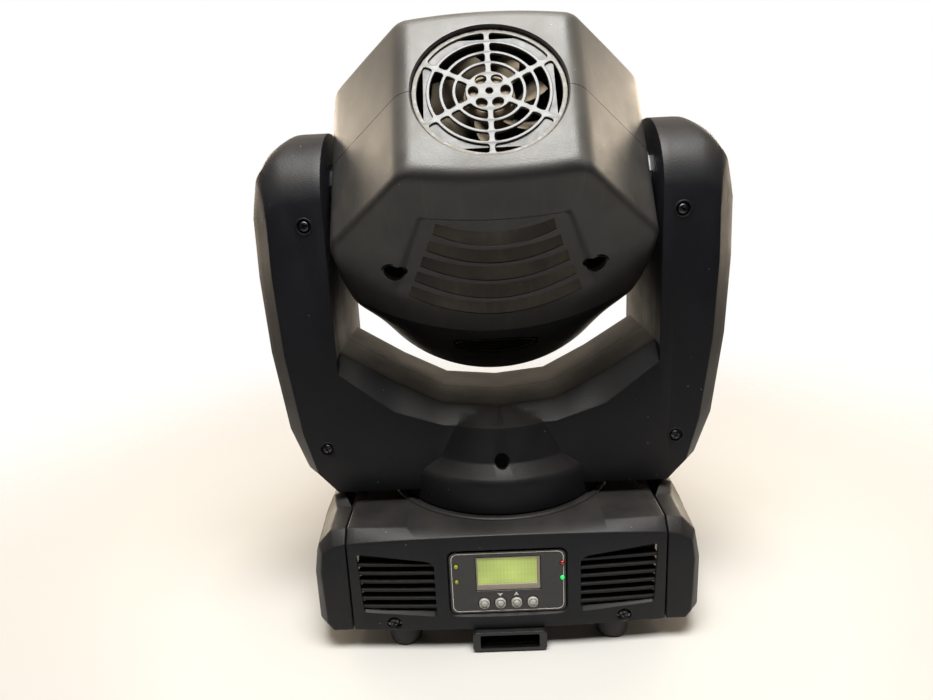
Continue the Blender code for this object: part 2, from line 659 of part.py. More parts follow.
def louvre(i):
    """One curved slot of the underside louvre; its lens-side edge is a little longer."""
    steps = 4
    near = louvre_edge(-61 + 14.8 * i, -67 + 14 * i, 36.6 + 5.1 * i, steps)
    far = louvre_edge(-49 + 14.8 * i, -58 + 14.1 * i, 38.9 + 5.3 * i, steps)
    return prism(near + list(reversed(far)), "Z", -130 * MM, -40 * MM)


def louvre_edge(middle, end, half, steps):
    """Points of an arc from its middle and end places along the beam, in millimetres."""
    points = []
    for k in range(steps + 1):
        t = 2 * k / steps - 1
        points.append((half * t * MM, (middle + (end - middle) * t * t) * MM))
    return points


def make_head(mats, head):
    make_half_cover("head_upper_cover", 1, mats["cover"], head)
    make_half_cover("head_lower_cover", -1, mats["cover"], head)
    split = COVER_SPLIT_Y / MM
    rings = [head_full_ring(s) for s in stations_between(split, 102)]
    front = add_object("head_front_cover", loft(rings), mats["trim"], head)
    inner = [head_full_ring(s, WALL / MM) for s in stations_between(split, 94)]
    first = [Vector((p.x, p.y - 10 * MM, p.z)) for p in inner[0]]
    cut(front, "front_hollow", loft([first] + inner))
    cut(front, "front_mouth", stack("Y", [(62 * MM, 80 * MM), (62 * MM, 120 * MM)], 36))
    cut(front, "plate_seat", plate_solid(GAP / MM, -6.0, 1.2 + GAP / MM))
    add_object("name_plate", plate_solid(0.0, 0.2, 1.2), mats["plate"], head)
    steps = [(61.6 * MM, 84 * MM)]
    for k in range(4):
        angle = math.radians(8 + 80 * k / 3)
        steps.append((61.6 * MM * math.cos(angle) + 0.4 * MM, 88 * MM + 12 * MM * math.sin(angle)))
    add_object("front_lens", stack("Y", steps, 32), mats["glass"], head)
    for arm, word in ((-1, "left"), (1, "right")):
        make_head_screw(arm, word, mats, head)
        make_tilt_shaft(arm, word, mats, head)
    make_fan(mats, head)
    make_optics(mats, head)


def crown_height(x, y):
    """How far the head's crown is from the beam axis at a place, in millimetres."""
    for station_a, station_b in zip(HEAD_STATIONS, HEAD_STATIONS[1:]):
        if station_a[0] <= y <= station_b[0]:
            _, half_x, corner, crown, blend, radius = between(station_a, station_b, y)
    curve = head_quarter(half_x, corner, crown, blend, radius)
    for (x0, z0), (x1, z1) in zip(curve, curve[1:]):
        if x1 <= abs(x) <= x0:
            return z1 + (z0 - z1) * (abs(x) - x1) / (x0 - x1)
    return curve[-1][1]


def plate_solid(grow, top, bottom):
    """The oval plate under the front cover, from top to bottom below the crown there."""
    rings = []
    for k in range(9):
        reach = math.sin(math.radians(-80 + 20 * k))
        x = (32 + grow) * reach / math.sin(math.radians(80))
        half = 2.5 + grow + 7.5 * math.sqrt(1 - reach * reach)
        ys = (PLATE_Y / MM - half, PLATE_Y / MM + half)
        ring = [(x, ys[0], top), (x, ys[1], top), (x, ys[1], bottom), (x, ys[0], bottom)]
        rings.append([Vector((a, b, depth - crown_height(a, b))) * MM for a, b, depth in ring])
    return loft(rings)


def make_head_screw(arm, word, mats, head):
    low = [(3 * MM, -72 * MM), (3 * MM, -67 * MM), (1.6 * MM, -67 * MM), (1.6 * MM, -50 * MM)]
    screw = stack("Z", low, 16, (arm * HEAD_SCREW_X, HEAD_SCREW_Y))
    add_object(f"head_screw_{word}", screw, mats["screw"], head)


def make_tilt_shaft(arm, word, mats, head):
    """A hollow stub shaft with a flange inside the head's side; the right one has the pulley."""
    tip = 142 if arm < 0 else 152
    profile = [(6, 98), (34, 98), (34, 104), (20, 104), (20, 118.5), (10, 118.5), (10, tip), (6, tip)]
    if arm > 0:
        profile = profile[:6] + [(10, 143), (25, 143), (25, 151), (10, 151), (10, tip), (6, tip)]
    points = [(r * MM, arm * x * MM) for r, x in profile]
    shaft = turned(points, "X", 20)
    add_object(f"tilt_shaft_{word}", shaft, mats["zinc"] if arm < 0 else mats["pulley"], head)


def make_fan(mats, head):
    """Round grille of five rings and six spokes, flush in the rear face, over a box fan."""
    face = HEAD_REAR_Y
    back = face + 2.6 * MM
    disc = stack("Y", [(FAN_RADIUS - GAP, face + 0.2 * MM), (FAN_RADIUS - GAP, back)], 48)
    grille = add_object("fan_grille", disc, mats["grille"], head)
    gaps = [stack("Y", [(2 * MM, face - 5 * MM), (2 * MM, face + 9 * MM)], 8)]
    for spoke in range(6):
        t = math.radians(60 * spoke)
        gaps.append(stack("Y", [(2.9 * MM, face - 5 * MM), (2.9 * MM, face + 9 * MM)], 8,
                          (9.6 * MM * math.cos(t), 9.6 * MM * math.sin(t))))
        for ring in range(4):
            inner = (14.2 + 8.05 * ring) * MM
            gaps.append(ring_sector(inner, inner + 5.6 * MM, spoke))
    cut(grille, "grille_gaps", joined(gaps))
    frame = prism(rounded_rectangle(-40 * MM, 40 * MM, -40 * MM, 40 * MM, 5 * MM), "Y", -100 * MM, -76 * MM)
    case = add_object("fan_frame", frame, mats["trim"], head)
    cut(case, "fan_duct", stack("Y", [(38 * MM, -110 * MM), (38 * MM, -79 * MM)], 28))
    for i in range(4):
        t0 = math.radians(90 * i + 8)
        t1 = math.radians(90 * i + 82)
        gap = sector(15 * MM, 36 * MM, t0, t1, 4)
        cut(case, f"fan_window_{i}", prism(gap, "Y", -90 * MM, -60 * MM))
    rotor = stack("Y", [(15 * MM, -98 * MM), (16 * MM, -97 * MM), (16 * MM, -80 * MM)], 24)
    fan = add_object("fan_rotor", rotor, mats["rotor"], head)
    for i in range(7):
        combine(fan, blade_tool(i, head), "UNION")


def blade_tool(i, head):
    """One swept fan blade, as a thin slanted plate from the hub outwards."""
    turn = Matrix.Rotation(2 * math.pi * i / 7, 4, "Y")
    points = []
    for along, shift in ((-96 * MM, -7 * MM), (-82 * MM, 7 * MM)):
        points.append([Vector((14 * MM, along, shift * 0.7)), Vector((36 * MM, along, shift)),
                       Vector((36 * MM, along, shift + 1.6 * MM)),
                       Vector((14 * MM, along, shift * 0.7 + 1.6 * MM))])
    bm = loft(points)
    bmesh.ops.transform(bm, matrix=turn, verts=bm.verts)
    return cutter(f"fan_blade_{i}", bm, head)


def sector(inner, outer, start, end, steps):
    """Part of a ring between two radii and two angles."""
    angles = [start + (end - start) * k / steps for k in range(steps + 1)]
    return ([(outer * math.cos(t), outer * math.sin(t)) for t in angles]
            + [(inner * math.cos(t), inner * math.sin(t)) for t in reversed(angles)])


def ring_sector(inner, outer, spoke):
    middle = (inner + outer) / 2
    margin = 2.2 * MM / middle
    start = math.radians(30 + 60 * spoke) + margin
    end = math.radians(90 + 60 * spoke) - margin
    return prism(sector(inner, outer, start, end, 3), "Y", HEAD_REAR_Y - 5 * MM, HEAD_REAR_Y + 9 * MM)


def make_optics(mats, head):
    block = prism(rounded_rectangle(-48 * MM, 48 * MM, -48 * MM, 48 * MM, 4 * MM), "Y", -70 * MM, -8 * MM)
    engine = add_object("light_engine", block, mats["heat_sink"], head)
    for i in range(9):
        x = (-42 + 10.5 * i) * MM
        cut(engine, f"fin_gap_{i}", box(x - 3 * MM, x + 3 * MM, -90 * MM, -26 * MM, -60 * MM, 60 * MM))
    pin = stack("Y", [(2.4 * MM, -9 * MM), (2.4 * MM, 22 * MM)], 16, (34 * MM, 0.0))
    combine(engine, cutter("wheel_pin", pin, head), "UNION")
    for name, y, colour in (("colour_wheel", 0.0, "colour_wheel"), ("gobo_wheel", 12 * MM, "gobo_wheel")):
        disc = stack("Y", [(42 * MM, -1.2 * MM), (42 * MM, 1.2 * MM)], 24)
        wheel = add_object(name, disc, mats[colour], head)
        wheel.location = (34 * MM, y, 0)
        holes = [stack("Y", [(2.8 * MM, -5 * MM), (2.8 * MM, 5 * MM)], 12)]
        for i in range(7):
            t = 2 * math.pi * (i + 0.5) / 7
            at = (30 * MM * math.cos(t), 30 * MM * math.sin(t))
            holes.append(stack("Y", [(8 * MM, -5 * MM), (8 * MM, 5 * MM)], 8, at))
        combine(wheel, cutter(f"{name}_holes", joined(holes), wheel))
    carriage = [(16 * MM, -4 * MM), (30 * MM, -4 * MM), (30 * MM, 4 * MM), (16 * MM, 4 * MM)]
    focus = add_object("focus_carriage", turned(carriage, "Y", 32), mats["zinc"], head)
    focus.location = (0, 44 * MM, 0)


def make_drive_pulleys(mats, yoke):
    teeth = [(2.6 * MM, 0.0), (SMALL_PULLEY_RADIUS, 0.0), (SMALL_PULLEY_RADIUS, 8 * MM), (2.6 * MM, 8 * MM)]
    small = add_object("pan_drive_pulley", turned(teeth, "Z", 24), mats["pulley"])
    small.location = (PAN_MOTOR_XY[0], PAN_MOTOR_XY[1], PAN_BELT_Z - 6 * MM)
    tilt = add_object("tilt_drive_pulley", turned(teeth, "X", 24), mats["pulley"], yoke)
    tilt.location = (143 * MM, 0, TILT_MOTOR_Z)


def make_materials():
    return {
        "cover": finish("black_abs", (0.022, 0.023, 0.026), 0.55),
        "trim": finish("black_trim", (0.012, 0.012, 0.014), 0.5),
        "grille": finish("grille_grey", (0.12, 0.12, 0.125), 0.45),
        "steel": finish("steel", (0.3, 0.3, 0.31), 0.4, 1.0),
        "zinc": finish("zinc_plate", (0.5, 0.5, 0.5), 0.35, 1.0),
        "bracket": finish("black_enamel", (0.01, 0.01, 0.011), 0.35),
        "rubber": finish("rubber", (0.01, 0.01, 0.01), 0.8),
        "screw": finish("black_screw", (0.02, 0.02, 0.02), 0.35, 1.0),
        "motor": finish("motor_black", (0.03, 0.03, 0.03), 0.4, 0.6),
        "board": finish("board_green", (0.02, 0.12, 0.05), 0.5),
        "lcd": finish("lcd", (0.45, 0.62, 0.16), 0.3),
        "button": finish("button_grey", (0.45, 0.45, 0.42), 0.45),
        "led_amber": finish("led_amber", (0.45, 0.42, 0.05), 0.2),
        "led_red": finish("led_red", (0.5, 0.02, 0.02), 0.2),
        "led_green": finish("led_green", (0.03, 0.6, 0.12), 0.2),
        "pulley": finish("pulley_aluminium", (0.55, 0.55, 0.56), 0.35, 1.0),
        "rotor": finish("fan_black", (0.02, 0.02, 0.022), 0.45),
        "heat_sink": finish("heat_sink", (0.4, 0.4, 0.41), 0.4, 1.0),
        "glass": finish("glass", (0.8, 0.85, 0.9), 0.05),
        "plate": finish("name_plate", (0.02, 0.02, 0.02), 0.25),
        "colour_wheel": finish("colour_wheel", (0.2, 0.05, 0.4), 0.3),
        "gobo_wheel": finish("gobo_wheel", (0.3, 0.3, 0.3), 0.3, 1.0),
    }


def main():
    clear_scene()
    mats = make_materials()
    yoke = add_empty("pan_axis", (0, 0, 0))
    head = add_empty("tilt_axis", (0, 0, TILT_Z), (HEAD_TILT, 0, 0), yoke)
    make_base(mats)
    make_panel(mats)
    make_yoke(mats, yoke)
    make_drive_pulleys(mats, yoke)
    make_head(mats, head)


main()
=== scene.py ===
"""Moving head light: moulded covers, fan grille, control panel, fixings, finishes and stage.

Shapes are drawn in millimetres. The head's pieces are drawn in the head's own frame: +X right,
+Y along the beam, +Z up when the beam is level.
"""

import json
import math

import bmesh
import bpy
from bpy.props import FloatProperty, FloatVectorProperty, IntProperty, PointerProperty
from mathutils import Matrix, Vector

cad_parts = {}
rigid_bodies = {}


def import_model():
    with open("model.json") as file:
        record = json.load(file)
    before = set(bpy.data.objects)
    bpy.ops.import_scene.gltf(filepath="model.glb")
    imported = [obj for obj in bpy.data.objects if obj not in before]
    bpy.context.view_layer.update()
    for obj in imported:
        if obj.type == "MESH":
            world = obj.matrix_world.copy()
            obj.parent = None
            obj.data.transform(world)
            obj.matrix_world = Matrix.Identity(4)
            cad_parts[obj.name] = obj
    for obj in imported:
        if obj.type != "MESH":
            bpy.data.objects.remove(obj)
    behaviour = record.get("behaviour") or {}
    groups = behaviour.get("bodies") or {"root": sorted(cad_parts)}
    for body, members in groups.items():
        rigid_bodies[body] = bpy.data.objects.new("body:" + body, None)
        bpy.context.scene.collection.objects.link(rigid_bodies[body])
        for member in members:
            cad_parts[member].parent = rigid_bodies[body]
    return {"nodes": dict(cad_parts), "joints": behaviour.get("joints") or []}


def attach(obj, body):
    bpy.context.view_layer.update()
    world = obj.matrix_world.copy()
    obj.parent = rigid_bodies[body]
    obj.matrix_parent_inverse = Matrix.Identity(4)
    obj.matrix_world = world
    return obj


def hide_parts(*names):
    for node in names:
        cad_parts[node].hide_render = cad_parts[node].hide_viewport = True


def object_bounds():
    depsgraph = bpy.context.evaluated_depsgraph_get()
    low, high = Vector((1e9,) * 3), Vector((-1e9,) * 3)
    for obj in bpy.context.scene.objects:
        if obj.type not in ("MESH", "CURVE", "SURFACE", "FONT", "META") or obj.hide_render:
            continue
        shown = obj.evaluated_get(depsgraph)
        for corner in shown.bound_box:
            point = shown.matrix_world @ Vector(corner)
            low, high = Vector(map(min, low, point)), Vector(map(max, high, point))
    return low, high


bl_info = {
    "name": "Moving Head Light Looks",
    "version": (1, 0, 0),
    "blender": (4, 5, 0),
    "location": "3D View > Sidebar > Moving Head",
    "description": "Builds the visible pieces, finishes and stage around the packed frame",
    "category": "Object",
}

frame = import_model()
CAD_BOX = [list(corner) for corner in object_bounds()]
FLOOR_Z = CAD_BOX[0][2]

MM = 0.001
WALL = 2.6                       # moulded cover thickness
GAP = 0.4                        # air between neighbouring pieces
TILT = next(joint for joint in frame["joints"] if joint["name"] == "tilt")
HEAD_PLACE = Matrix.Translation(TILT["pos_m"]) @ Matrix.Rotation(math.radians(-35.5), 4, "X")
FACING_FRONT = Matrix.Rotation(math.radians(90), 4, "X")
FACING_DOWN = Matrix.Rotation(math.radians(180), 4, "X")


def linear(code):
    """An sRGB hex colour as linear red, green and blue."""
    parts = [int(code[i:i + 2], 16) / 255 for i in (1, 3, 5)]
    return tuple(c / 12.92 if c <= 0.04045 else ((c + 0.055) / 1.055) ** 2.4 for c in parts)


# ---------------------------------------------------------------- sizes and colours

class HeadSizes(bpy.types.PropertyGroup):
    edge_round: FloatProperty(name="Edge rounding", unit="LENGTH", default=0.0075, min=0.001, max=0.015,
                              description="How far the bends and rear edges of the head are rounded")
    corner_round: FloatProperty(name="Corner rounding", unit="LENGTH", default=0.0055, min=0.001,
                                max=0.015, description="Rounding of the corner along the head's sides")
    louvre_depth: FloatProperty(name="Louvre panel depth", unit="LENGTH", default=0.0016, min=0.0,
                                max=0.0024, description="How far the louvre panel lies below the cover")
    grille_recess: FloatProperty(name="Grille recess", unit="LENGTH", default=0.0028, min=0.001,
                                 max=0.004, description="How far the fan grille lies below the rear face")
    blades: IntProperty(name="Fan blades", default=7, min=5, max=11, description="Blades on the rotor")


class YokeSizes(bpy.types.PropertyGroup):
    edge_round: FloatProperty(name="Edge rounding", unit="LENGTH", default=0.0013, min=0.0003,
                              max=0.003, description="Radius of the yoke covers' edges")
    screw_radius: FloatProperty(name="Screw head radius", unit="LENGTH", default=0.0036, min=0.003,
                                max=0.005, description="Head radius of the yoke cover screws")


class BaseSizes(bpy.types.PropertyGroup):
    edge_round: FloatProperty(name="Edge rounding", unit="LENGTH", default=0.0011, min=0.0003,
                              max=0.003, description="Radius of the base covers' edges")
    foot_radius: FloatProperty(name="Foot radius", unit="LENGTH", default=0.012, min=0.009, max=0.014,
                               description="Radius of the rubber feet")
    bar_height: FloatProperty(name="Vent bar height", unit="LENGTH", default=0.0021, min=0.001,
                              max=0.004, description="Height of each bar across the front vents")


class PanelSizes(bpy.types.PropertyGroup):
    button_radius: FloatProperty(name="Button radius", unit="LENGTH", default=0.0038, min=0.003,
                                 max=0.0042, description="Radius of the four menu buttons")
    line_width: FloatProperty(name="Printed line width", unit="LENGTH", default=0.00045, min=0.0002,
                              max=0.001, description="Width of the outline printed round the panel")


class Colours(bpy.types.PropertyGroup):
    head: FloatVectorProperty(name="Head covers", subtype="COLOR", default=linear("#2a2a2b"),
                              description="Black ABS of the head covers, under their dust")
    body: FloatVectorProperty(name="Yoke and base", subtype="COLOR", default=linear("#121216"),
                              description="Black ABS of the yoke and the base")
    dust: FloatVectorProperty(name="Dust", subtype="COLOR", default=linear("#8c8474"),
                              description="Dust that lies on the covers")
    grille: FloatVectorProperty(name="Fan grille", subtype="COLOR", default=linear("#333437"),
                                description="Grey moulded grille")
    display: FloatVectorProperty(name="Display", subtype="COLOR", default=linear("#c3d873"),
                                 description="Lit liquid crystal display")
    button: FloatVectorProperty(name="Buttons", subtype="COLOR", default=linear("#a9a8a2"),
                                description="Grey menu buttons")
    floor: FloatVectorProperty(name="Floor", subtype="COLOR", default=linear("#bab8b5"),
                               description="Plain pale studio floor")


GROUPS = {"head_sizes": HeadSizes, "yoke_sizes": YokeSizes, "base_sizes": BaseSizes,
          "panel_sizes": PanelSizes, "light_colours": Colours}


# ---------------------------------------------------------------- shapes

def loft(rings):
    """A closed solid through rings of equally many points, capped at both ends."""
    bm = bmesh.new()
    rows = [[bm.verts.new(p) for p in ring] for ring in rings]
    count = len(rows[0])
    for low, high in zip(rows, rows[1:]):
        for i in range(count):
            j = (i + 1) % count
            bm.faces.new((low[i], low[j], high[j], high[i]))
    bm.faces.new(rows[0])
    bm.faces.new(list(reversed(rows[-1])))
    return bm


def placed(axis, a, b, along):
    """A point from two coordinates across an axis and one along it."""
    if axis == "X":
        return Vector((along, a, b))
    if axis == "Y":
        return Vector((a, along, b))
    return Vector((a, b, along))


def prism(outline, axis, low, high):
    return loft([[placed(axis, a, b, t) for a, b in outline] for t in (low, high)])


def circle(radius, count=48, centre=(0.0, 0.0)):
    turns = [2 * math.pi * i / count for i in range(count)]
    return [(centre[0] + radius * math.cos(t), centre[1] + radius * math.sin(t)) for t in turns]


def stack(axis, steps, count=48, centre=(0.0, 0.0)):
    """A stepped round solid from (radius, height) points, capped at both ends."""
    return loft([[placed(axis, a, b, height) for a, b in circle(radius, count, centre)]
                 for radius, height in steps])


def turned(profile, axis, count=48, centre=(0.0, 0.0)):
    """A ring turned from a closed profile of (radius, height) points, all off the axis."""
    bm = bmesh.new()
    rows = []
    for i in range(count):
        t = 2 * math.pi * i / count
        rows.append([bm.verts.new(placed(axis, centre[0] + r * math.cos(t), centre[1] + r * math.sin(t), h))
                     for r, h in profile])
    for i in range(count):
        this, following = rows[i], rows[(i + 1) % count]
        for k in range(len(profile)):
            m = (k + 1) % len(profile)
            bm.faces.new((this[k], this[m], following[m], following[k]))
    return bm


def spun(points, turn):
    """Flat points turned about the origin by an angle in radians."""
    cos, sin = math.cos(turn), math.sin(turn)
    return [(x * cos - y * sin, x * sin + y * cos) for x, y in points]


def at(x, y, z):
    """A place given in millimetres, as a matrix."""
    return Matrix.Translation((x * MM, y * MM, z * MM))


def rectangle(a0, a1, b0, b1):
    return [(a0, b0), (a1, b0), (a1, b1), (a0, b1)]


def filleted(outline, reach, steps=5):
    """A closed outline with each corner replaced by a curve that starts reach away from it."""
    points = []
    count = len(outline)
    for i in range(count):
        before, corner, after = (Vector(outline[(i + k) % count]) for k in (-1, 0, 1))
        start = corner + (before - corner).normalized() * min(reach, (before - corner).length * 0.49)
        end = corner + (after - corner).normalized() * min(reach, (after - corner).length * 0.49)
        for k in range(steps + 1):
            t = k / steps
            points.append(tuple(start * (1 - t) ** 2 + corner * 2 * t * (1 - t) + end * t ** 2))
    return points


def merged(shapes):
    """Several closed shapes as one bmesh."""
    whole = bmesh.new()
    for shape in shapes:
        mesh = bpy.data.meshes.new("shape")
        shape.to_mesh(mesh)
        shape.free()
        whole.from_mesh(mesh)
        bpy.data.meshes.remove(mesh)
    return whole


def smoothstep(value):
    value = max(0.0, min(1.0, value))
    return value * value * (3 - 2 * value)


def shade(mesh, sharp):
    mesh.shade_smooth()
    mesh.set_sharp_from_angle(angle=math.radians(sharp))


def piece(name, bm, material=None, place=None, sharp=30):
    """A bmesh drawn in millimetres as an object in its place, with its faces pointing out."""
    bmesh.ops.scale(bm, vec=(MM, MM, MM), verts=bm.verts)
    bmesh.ops.recalc_face_normals(bm, faces=bm.faces)
    mesh = bpy.data.meshes.new(name)
    bm.to_mesh(mesh)
    bm.free()
    shade(mesh, sharp)
    if material:
        mesh.materials.append(material)
    obj = bpy.data.objects.new(name, mesh)
    bpy.context.scene.collection.objects.link(obj)
    obj.matrix_world = place or Matrix()
    return obj


def settle(obj, sharp=30):
    """Replace an object's mesh by its evaluated one and drop the modifiers."""
    bpy.context.view_layer.update()
    evaluated = obj.evaluated_get(bpy.context.evaluated_depsgraph_get())
    mesh = bpy.data.meshes.new_from_object(evaluated)
    obj.modifiers.clear()
    old = obj.data
    obj.data = mesh
    bpy.data.meshes.remove(old)
    mesh.name = obj.name
    shade(mesh, sharp)
    if not mesh.polygons:
        raise RuntimeError(f"{obj.name} has no faces left")


def carve(obj, bm, operation="DIFFERENCE", sharp=30):
    """Cut a closed shape away from an object, or join it on, in the object's own frame."""
    tool = piece("tool", bm, None, obj.matrix_world)
    modifier = obj.modifiers.new("carve", "BOOLEAN")
    modifier.operation = operation
    modifier.solver = "MANIFOLD"
    modifier.object = tool
    settle(obj, sharp)
    bpy.data.objects.remove(tool)


def soften(obj, width, segments=3, angle=28, sharp=40):
    """Round every edge sharper than an angle; width is in metres."""
    bevel = obj.modifiers.new("round", "BEVEL")
    bevel.width = width
    bevel.segments = segments
    bevel.limit_method = "ANGLE"
    bevel.angle_limit = math.radians(angle)
    bevel.miter_outer = "MITER_ARC"
    settle(obj, sharp)


def plate(name, outlines, thickness, edge, material, place):
    """A flat plate with rounded edges; the first outline is its rim, the others are holes.

    It is drawn in X and Y, and its face lies at Z = 0 with the plate below.
    """
    curve = bpy.data.curves.new(name, "CURVE")
    curve.dimensions = "2D"
    curve.fill_mode = "BOTH"
    curve.extrude = (thickness / 2 - edge) * MM
    curve.bevel_depth = edge * MM
    curve.bevel_resolution = 2
    curve.offset = -edge * MM
    for outline in outlines:
        spline = curve.splines.new("POLY")
        spline.points.add(len(outline) - 1)
        for point, (a, b) in zip(spline.points, outline):
            point.co = (a * MM, b * MM, 0, 1)
        spline.use_cyclic_u = True
    drawn = bpy.data.objects.new(name, curve)
    bpy.context.scene.collection.objects.link(drawn)
    bpy.context.view_layer.update()
    evaluated = drawn.evaluated_get(bpy.context.evaluated_depsgraph_get())
    mesh = bpy.data.meshes.new_from_object(evaluated)
    bpy.data.objects.remove(drawn)
    bm = bmesh.new()
    bm.from_mesh(mesh)
    bpy.data.meshes.remove(mesh)
    bmesh.ops.remove_doubles(bm, verts=bm.verts, dist=1e-6)
    bmesh.ops.translate(bm, vec=(0, 0, -thickness / 2 * MM), verts=bm.verts)
    bmesh.ops.scale(bm, vec=(1000, 1000, 1000), verts=bm.verts)
    return piece(name, bm, material, place, 45)


def put(obj, body, slot, *nodes):
    """Ride on a body and stand for CAD nodes, which it hides; the slot argument is not used."""
    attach(obj, body)
    if nodes:
        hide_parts(*nodes)
    return obj


# ---------------------------------------------------------------- finishes

def add_node(tree, kind, inputs=None, **settings):
    """Add a node; inputs maps a socket's name or number to a value or to another socket."""
    made = tree.nodes.new(kind)
    for key, value in settings.items():
        setattr(made, key, value)
    for key, value in (inputs or {}).items():
        if isinstance(value, bpy.types.NodeSocket):
            tree.links.new(value, made.inputs[key])
        else:
            made.inputs[key].default_value = value
    return made


def new_material(name):
    """An empty material with its shader and output; returns material, tree and shader."""
    material = bpy.data.materials.new(name)
    material.use_nodes = True
    tree = material.node_tree
    tree.nodes.clear()
    shader = add_node(tree, "ShaderNodeBsdfPrincipled")
    output = add_node(tree, "ShaderNodeOutputMaterial")
    tree.links.new(shader.outputs[0], output.inputs[0])
    return material, tree, shader


def per_mm(size):
    """A texture scale whose pattern repeats about every so many millimetres."""
    return 1000 / size


def noise(tree, size, detail=2.0, stretch=None, roughness=0.5):
    """Noise in the piece's own frame with features of a real size in millimetres."""
    place = add_node(tree, "ShaderNodeTexCoord").outputs["Object"]
    if stretch:
        place = add_node(tree, "ShaderNodeMapping", {0: place, 3: stretch}).outputs[0]
    return add_node(tree, "ShaderNodeTexNoise", {"Vector": place, "Scale": per_mm(size),
                                                 "Detail": detail, "Roughness": roughness}).outputs[0]


def ramp(tree, value, low, high, to_low=0.0, to_high=1.0):
    """Map a value between two levels to two others, clamped."""
    return add_node(tree, "ShaderNodeMapRange", {0: value, 1: low, 2: high, 3: to_low, 4: to_high}).outputs[0]


def mixed(tree, factor, a, b):
    """A colour mix; a and b are colours or sockets."""
    made = add_node(tree, "ShaderNodeMix", data_type="RGBA")
    for index, value in ((0, factor), (6, a), (7, b)):
        if isinstance(value, bpy.types.NodeSocket):
            tree.links.new(value, made.inputs[index])
        elif index:
            made.inputs[index].default_value = (*value[:3], 1.0)
        else:
            made.inputs[index].default_value = value
    return made.outputs[2]


def times(tree, a, b):
    return add_node(tree, "ShaderNodeMath", {0: a, 1: b}, operation="MULTIPLY").outputs[0]


def facing_up(tree, direction):
    """How far a face points along a direction of the piece's own frame, from 0 to 1."""
    normal = add_node(tree, "ShaderNodeTexCoord").outputs["Normal"]
    dot = add_node(tree, "ShaderNodeVectorMath", {0: normal, 1: direction}, operation="DOT_PRODUCT")
    return ramp(tree, dot.outputs["Value"], 0.1, 1.0)


def specks(tree, cell, radius):
    """Sparse specks: 1 inside them and 0 outside, sizes in millimetres."""
    place = add_node(tree, "ShaderNodeTexCoord").outputs["Object"]
    cells = add_node(tree, "ShaderNodeTexVoronoi", {"Vector": place, "Scale": per_mm(cell)})
    return ramp(tree, cells.outputs["Distance"], radius / cell * 0.6, radius / cell, 1.0, 0.0)


def bump(tree, shader, height, distance, strength=1.0):
    """Drive the shader's normal from a height; distance is in millimetres."""
    made = add_node(tree, "ShaderNodeBump", {"Strength": strength, "Distance": distance * MM,
                                             "Height": height})
    tree.links.new(made.outputs[0], shader.inputs["Normal"])


def spark_moulded_abs(name, colour, dust_colour, dust, up, gloss=0.46, grain=1.1, streaks=0.0,
                      level=0.42):
    """Black ABS moulded in a spark-eroded tool: a fine pebbled grain that breaks up highlights.

    The real grain is about 0.4 mm; it is drawn coarser so that it shows. Dust settles on
    what faces the given direction, in patches, with a few light specks everywhere. On the louvre
    blades that direction points forward and down, so there the tan is painted light, not dust.
    """
    material, tree, shader = new_material(name)
    patches = ramp(tree, noise(tree, 38, 4, roughness=0.6), 0.36, 0.68)
    # tan mask: settled dust on faces along the given direction; on the louvre blades it is painted light
    dust_and_painted_light = times(tree, facing_up(tree, up), dust)
    cover = times(tree, dust_and_painted_light, ramp(tree, patches, 0, 1, 0.45, 1.0))
    base = mixed(tree, ramp(tree, noise(tree, 90, 2), 0.3, 0.7, 0, 0.35), colour,
                 tuple(c * 1.5 for c in colour))
    # base colour with dust mixed in, and on the louvre blades with painted light
    dusty = mixed(tree, cover, base, dust_colour)
    if streaks:
        wiped = ramp(tree, noise(tree, 5, 3, (1.0, 0.09, 0.3)), 0.55, 0.78, 0, streaks)
        dusty = mixed(tree, wiped, dusty, dust_colour)
    dusty = mixed(tree, times(tree, specks(tree, 11, 0.42), 0.4), dusty, linear("#b9b4a8"))
    tree.links.new(dusty, shader.inputs["Base Color"])
    pebble = noise(tree, grain, 2)
    rough = ramp(tree, patches, 0, 1, gloss - 0.04, gloss + 0.08)
    tree.links.new(rough, shader.inputs["Roughness"])
    shader.inputs["IOR"].default_value = 1.54
    shader.inputs["Specular IOR Level"].default_value = level
    bump(tree, shader, pebble, 0.16, 0.55)
    return material


def smooth_plastic(name, colour, gloss, grain=2.5, height=0.02, ior=1.5):
    """Polished or satin moulded plastic: nearly even colour, with a slight ripple in the gloss."""
    material, tree, shader = new_material(name)
    tone = ramp(tree, noise(tree, 14, 3), 0.3, 0.7, 0, 0.3)
    tree.links.new(mixed(tree, tone, colour, tuple(c * 0.75 for c in colour)), shader.inputs["Base Color"])
    haze = ramp(tree, noise(tree, 6, 4), 0.3, 0.7, gloss - 0.04, gloss + 0.07)
    tree.links.new(haze, shader.inputs["Roughness"])
    shader.inputs["IOR"].default_value = ior
    bump(tree, shader, noise(tree, grain, 2), height, 0.6)
    return material


def worked_metal(name, colour, gloss, brush=None):
    """Bare or plated metal: brushed where a stretch is given, with cloudy staining."""
    material, tree, shader = new_material(name)
    cloud = ramp(tree, noise(tree, 12, 4), 0.35, 0.7, 0, 0.2)
    tree.links.new(mixed(tree, cloud, colour, tuple(c * 0.55 for c in colour)), shader.inputs["Base Color"])
    marks = noise(tree, 1.2, 3, brush)
    tree.links.new(ramp(tree, marks, 0.3, 0.7, gloss - 0.06, gloss + 0.1), shader.inputs["Roughness"])
    shader.inputs["Metallic"].default_value = 1.0
    bump(tree, shader, marks, 0.02, 0.5)
    return material


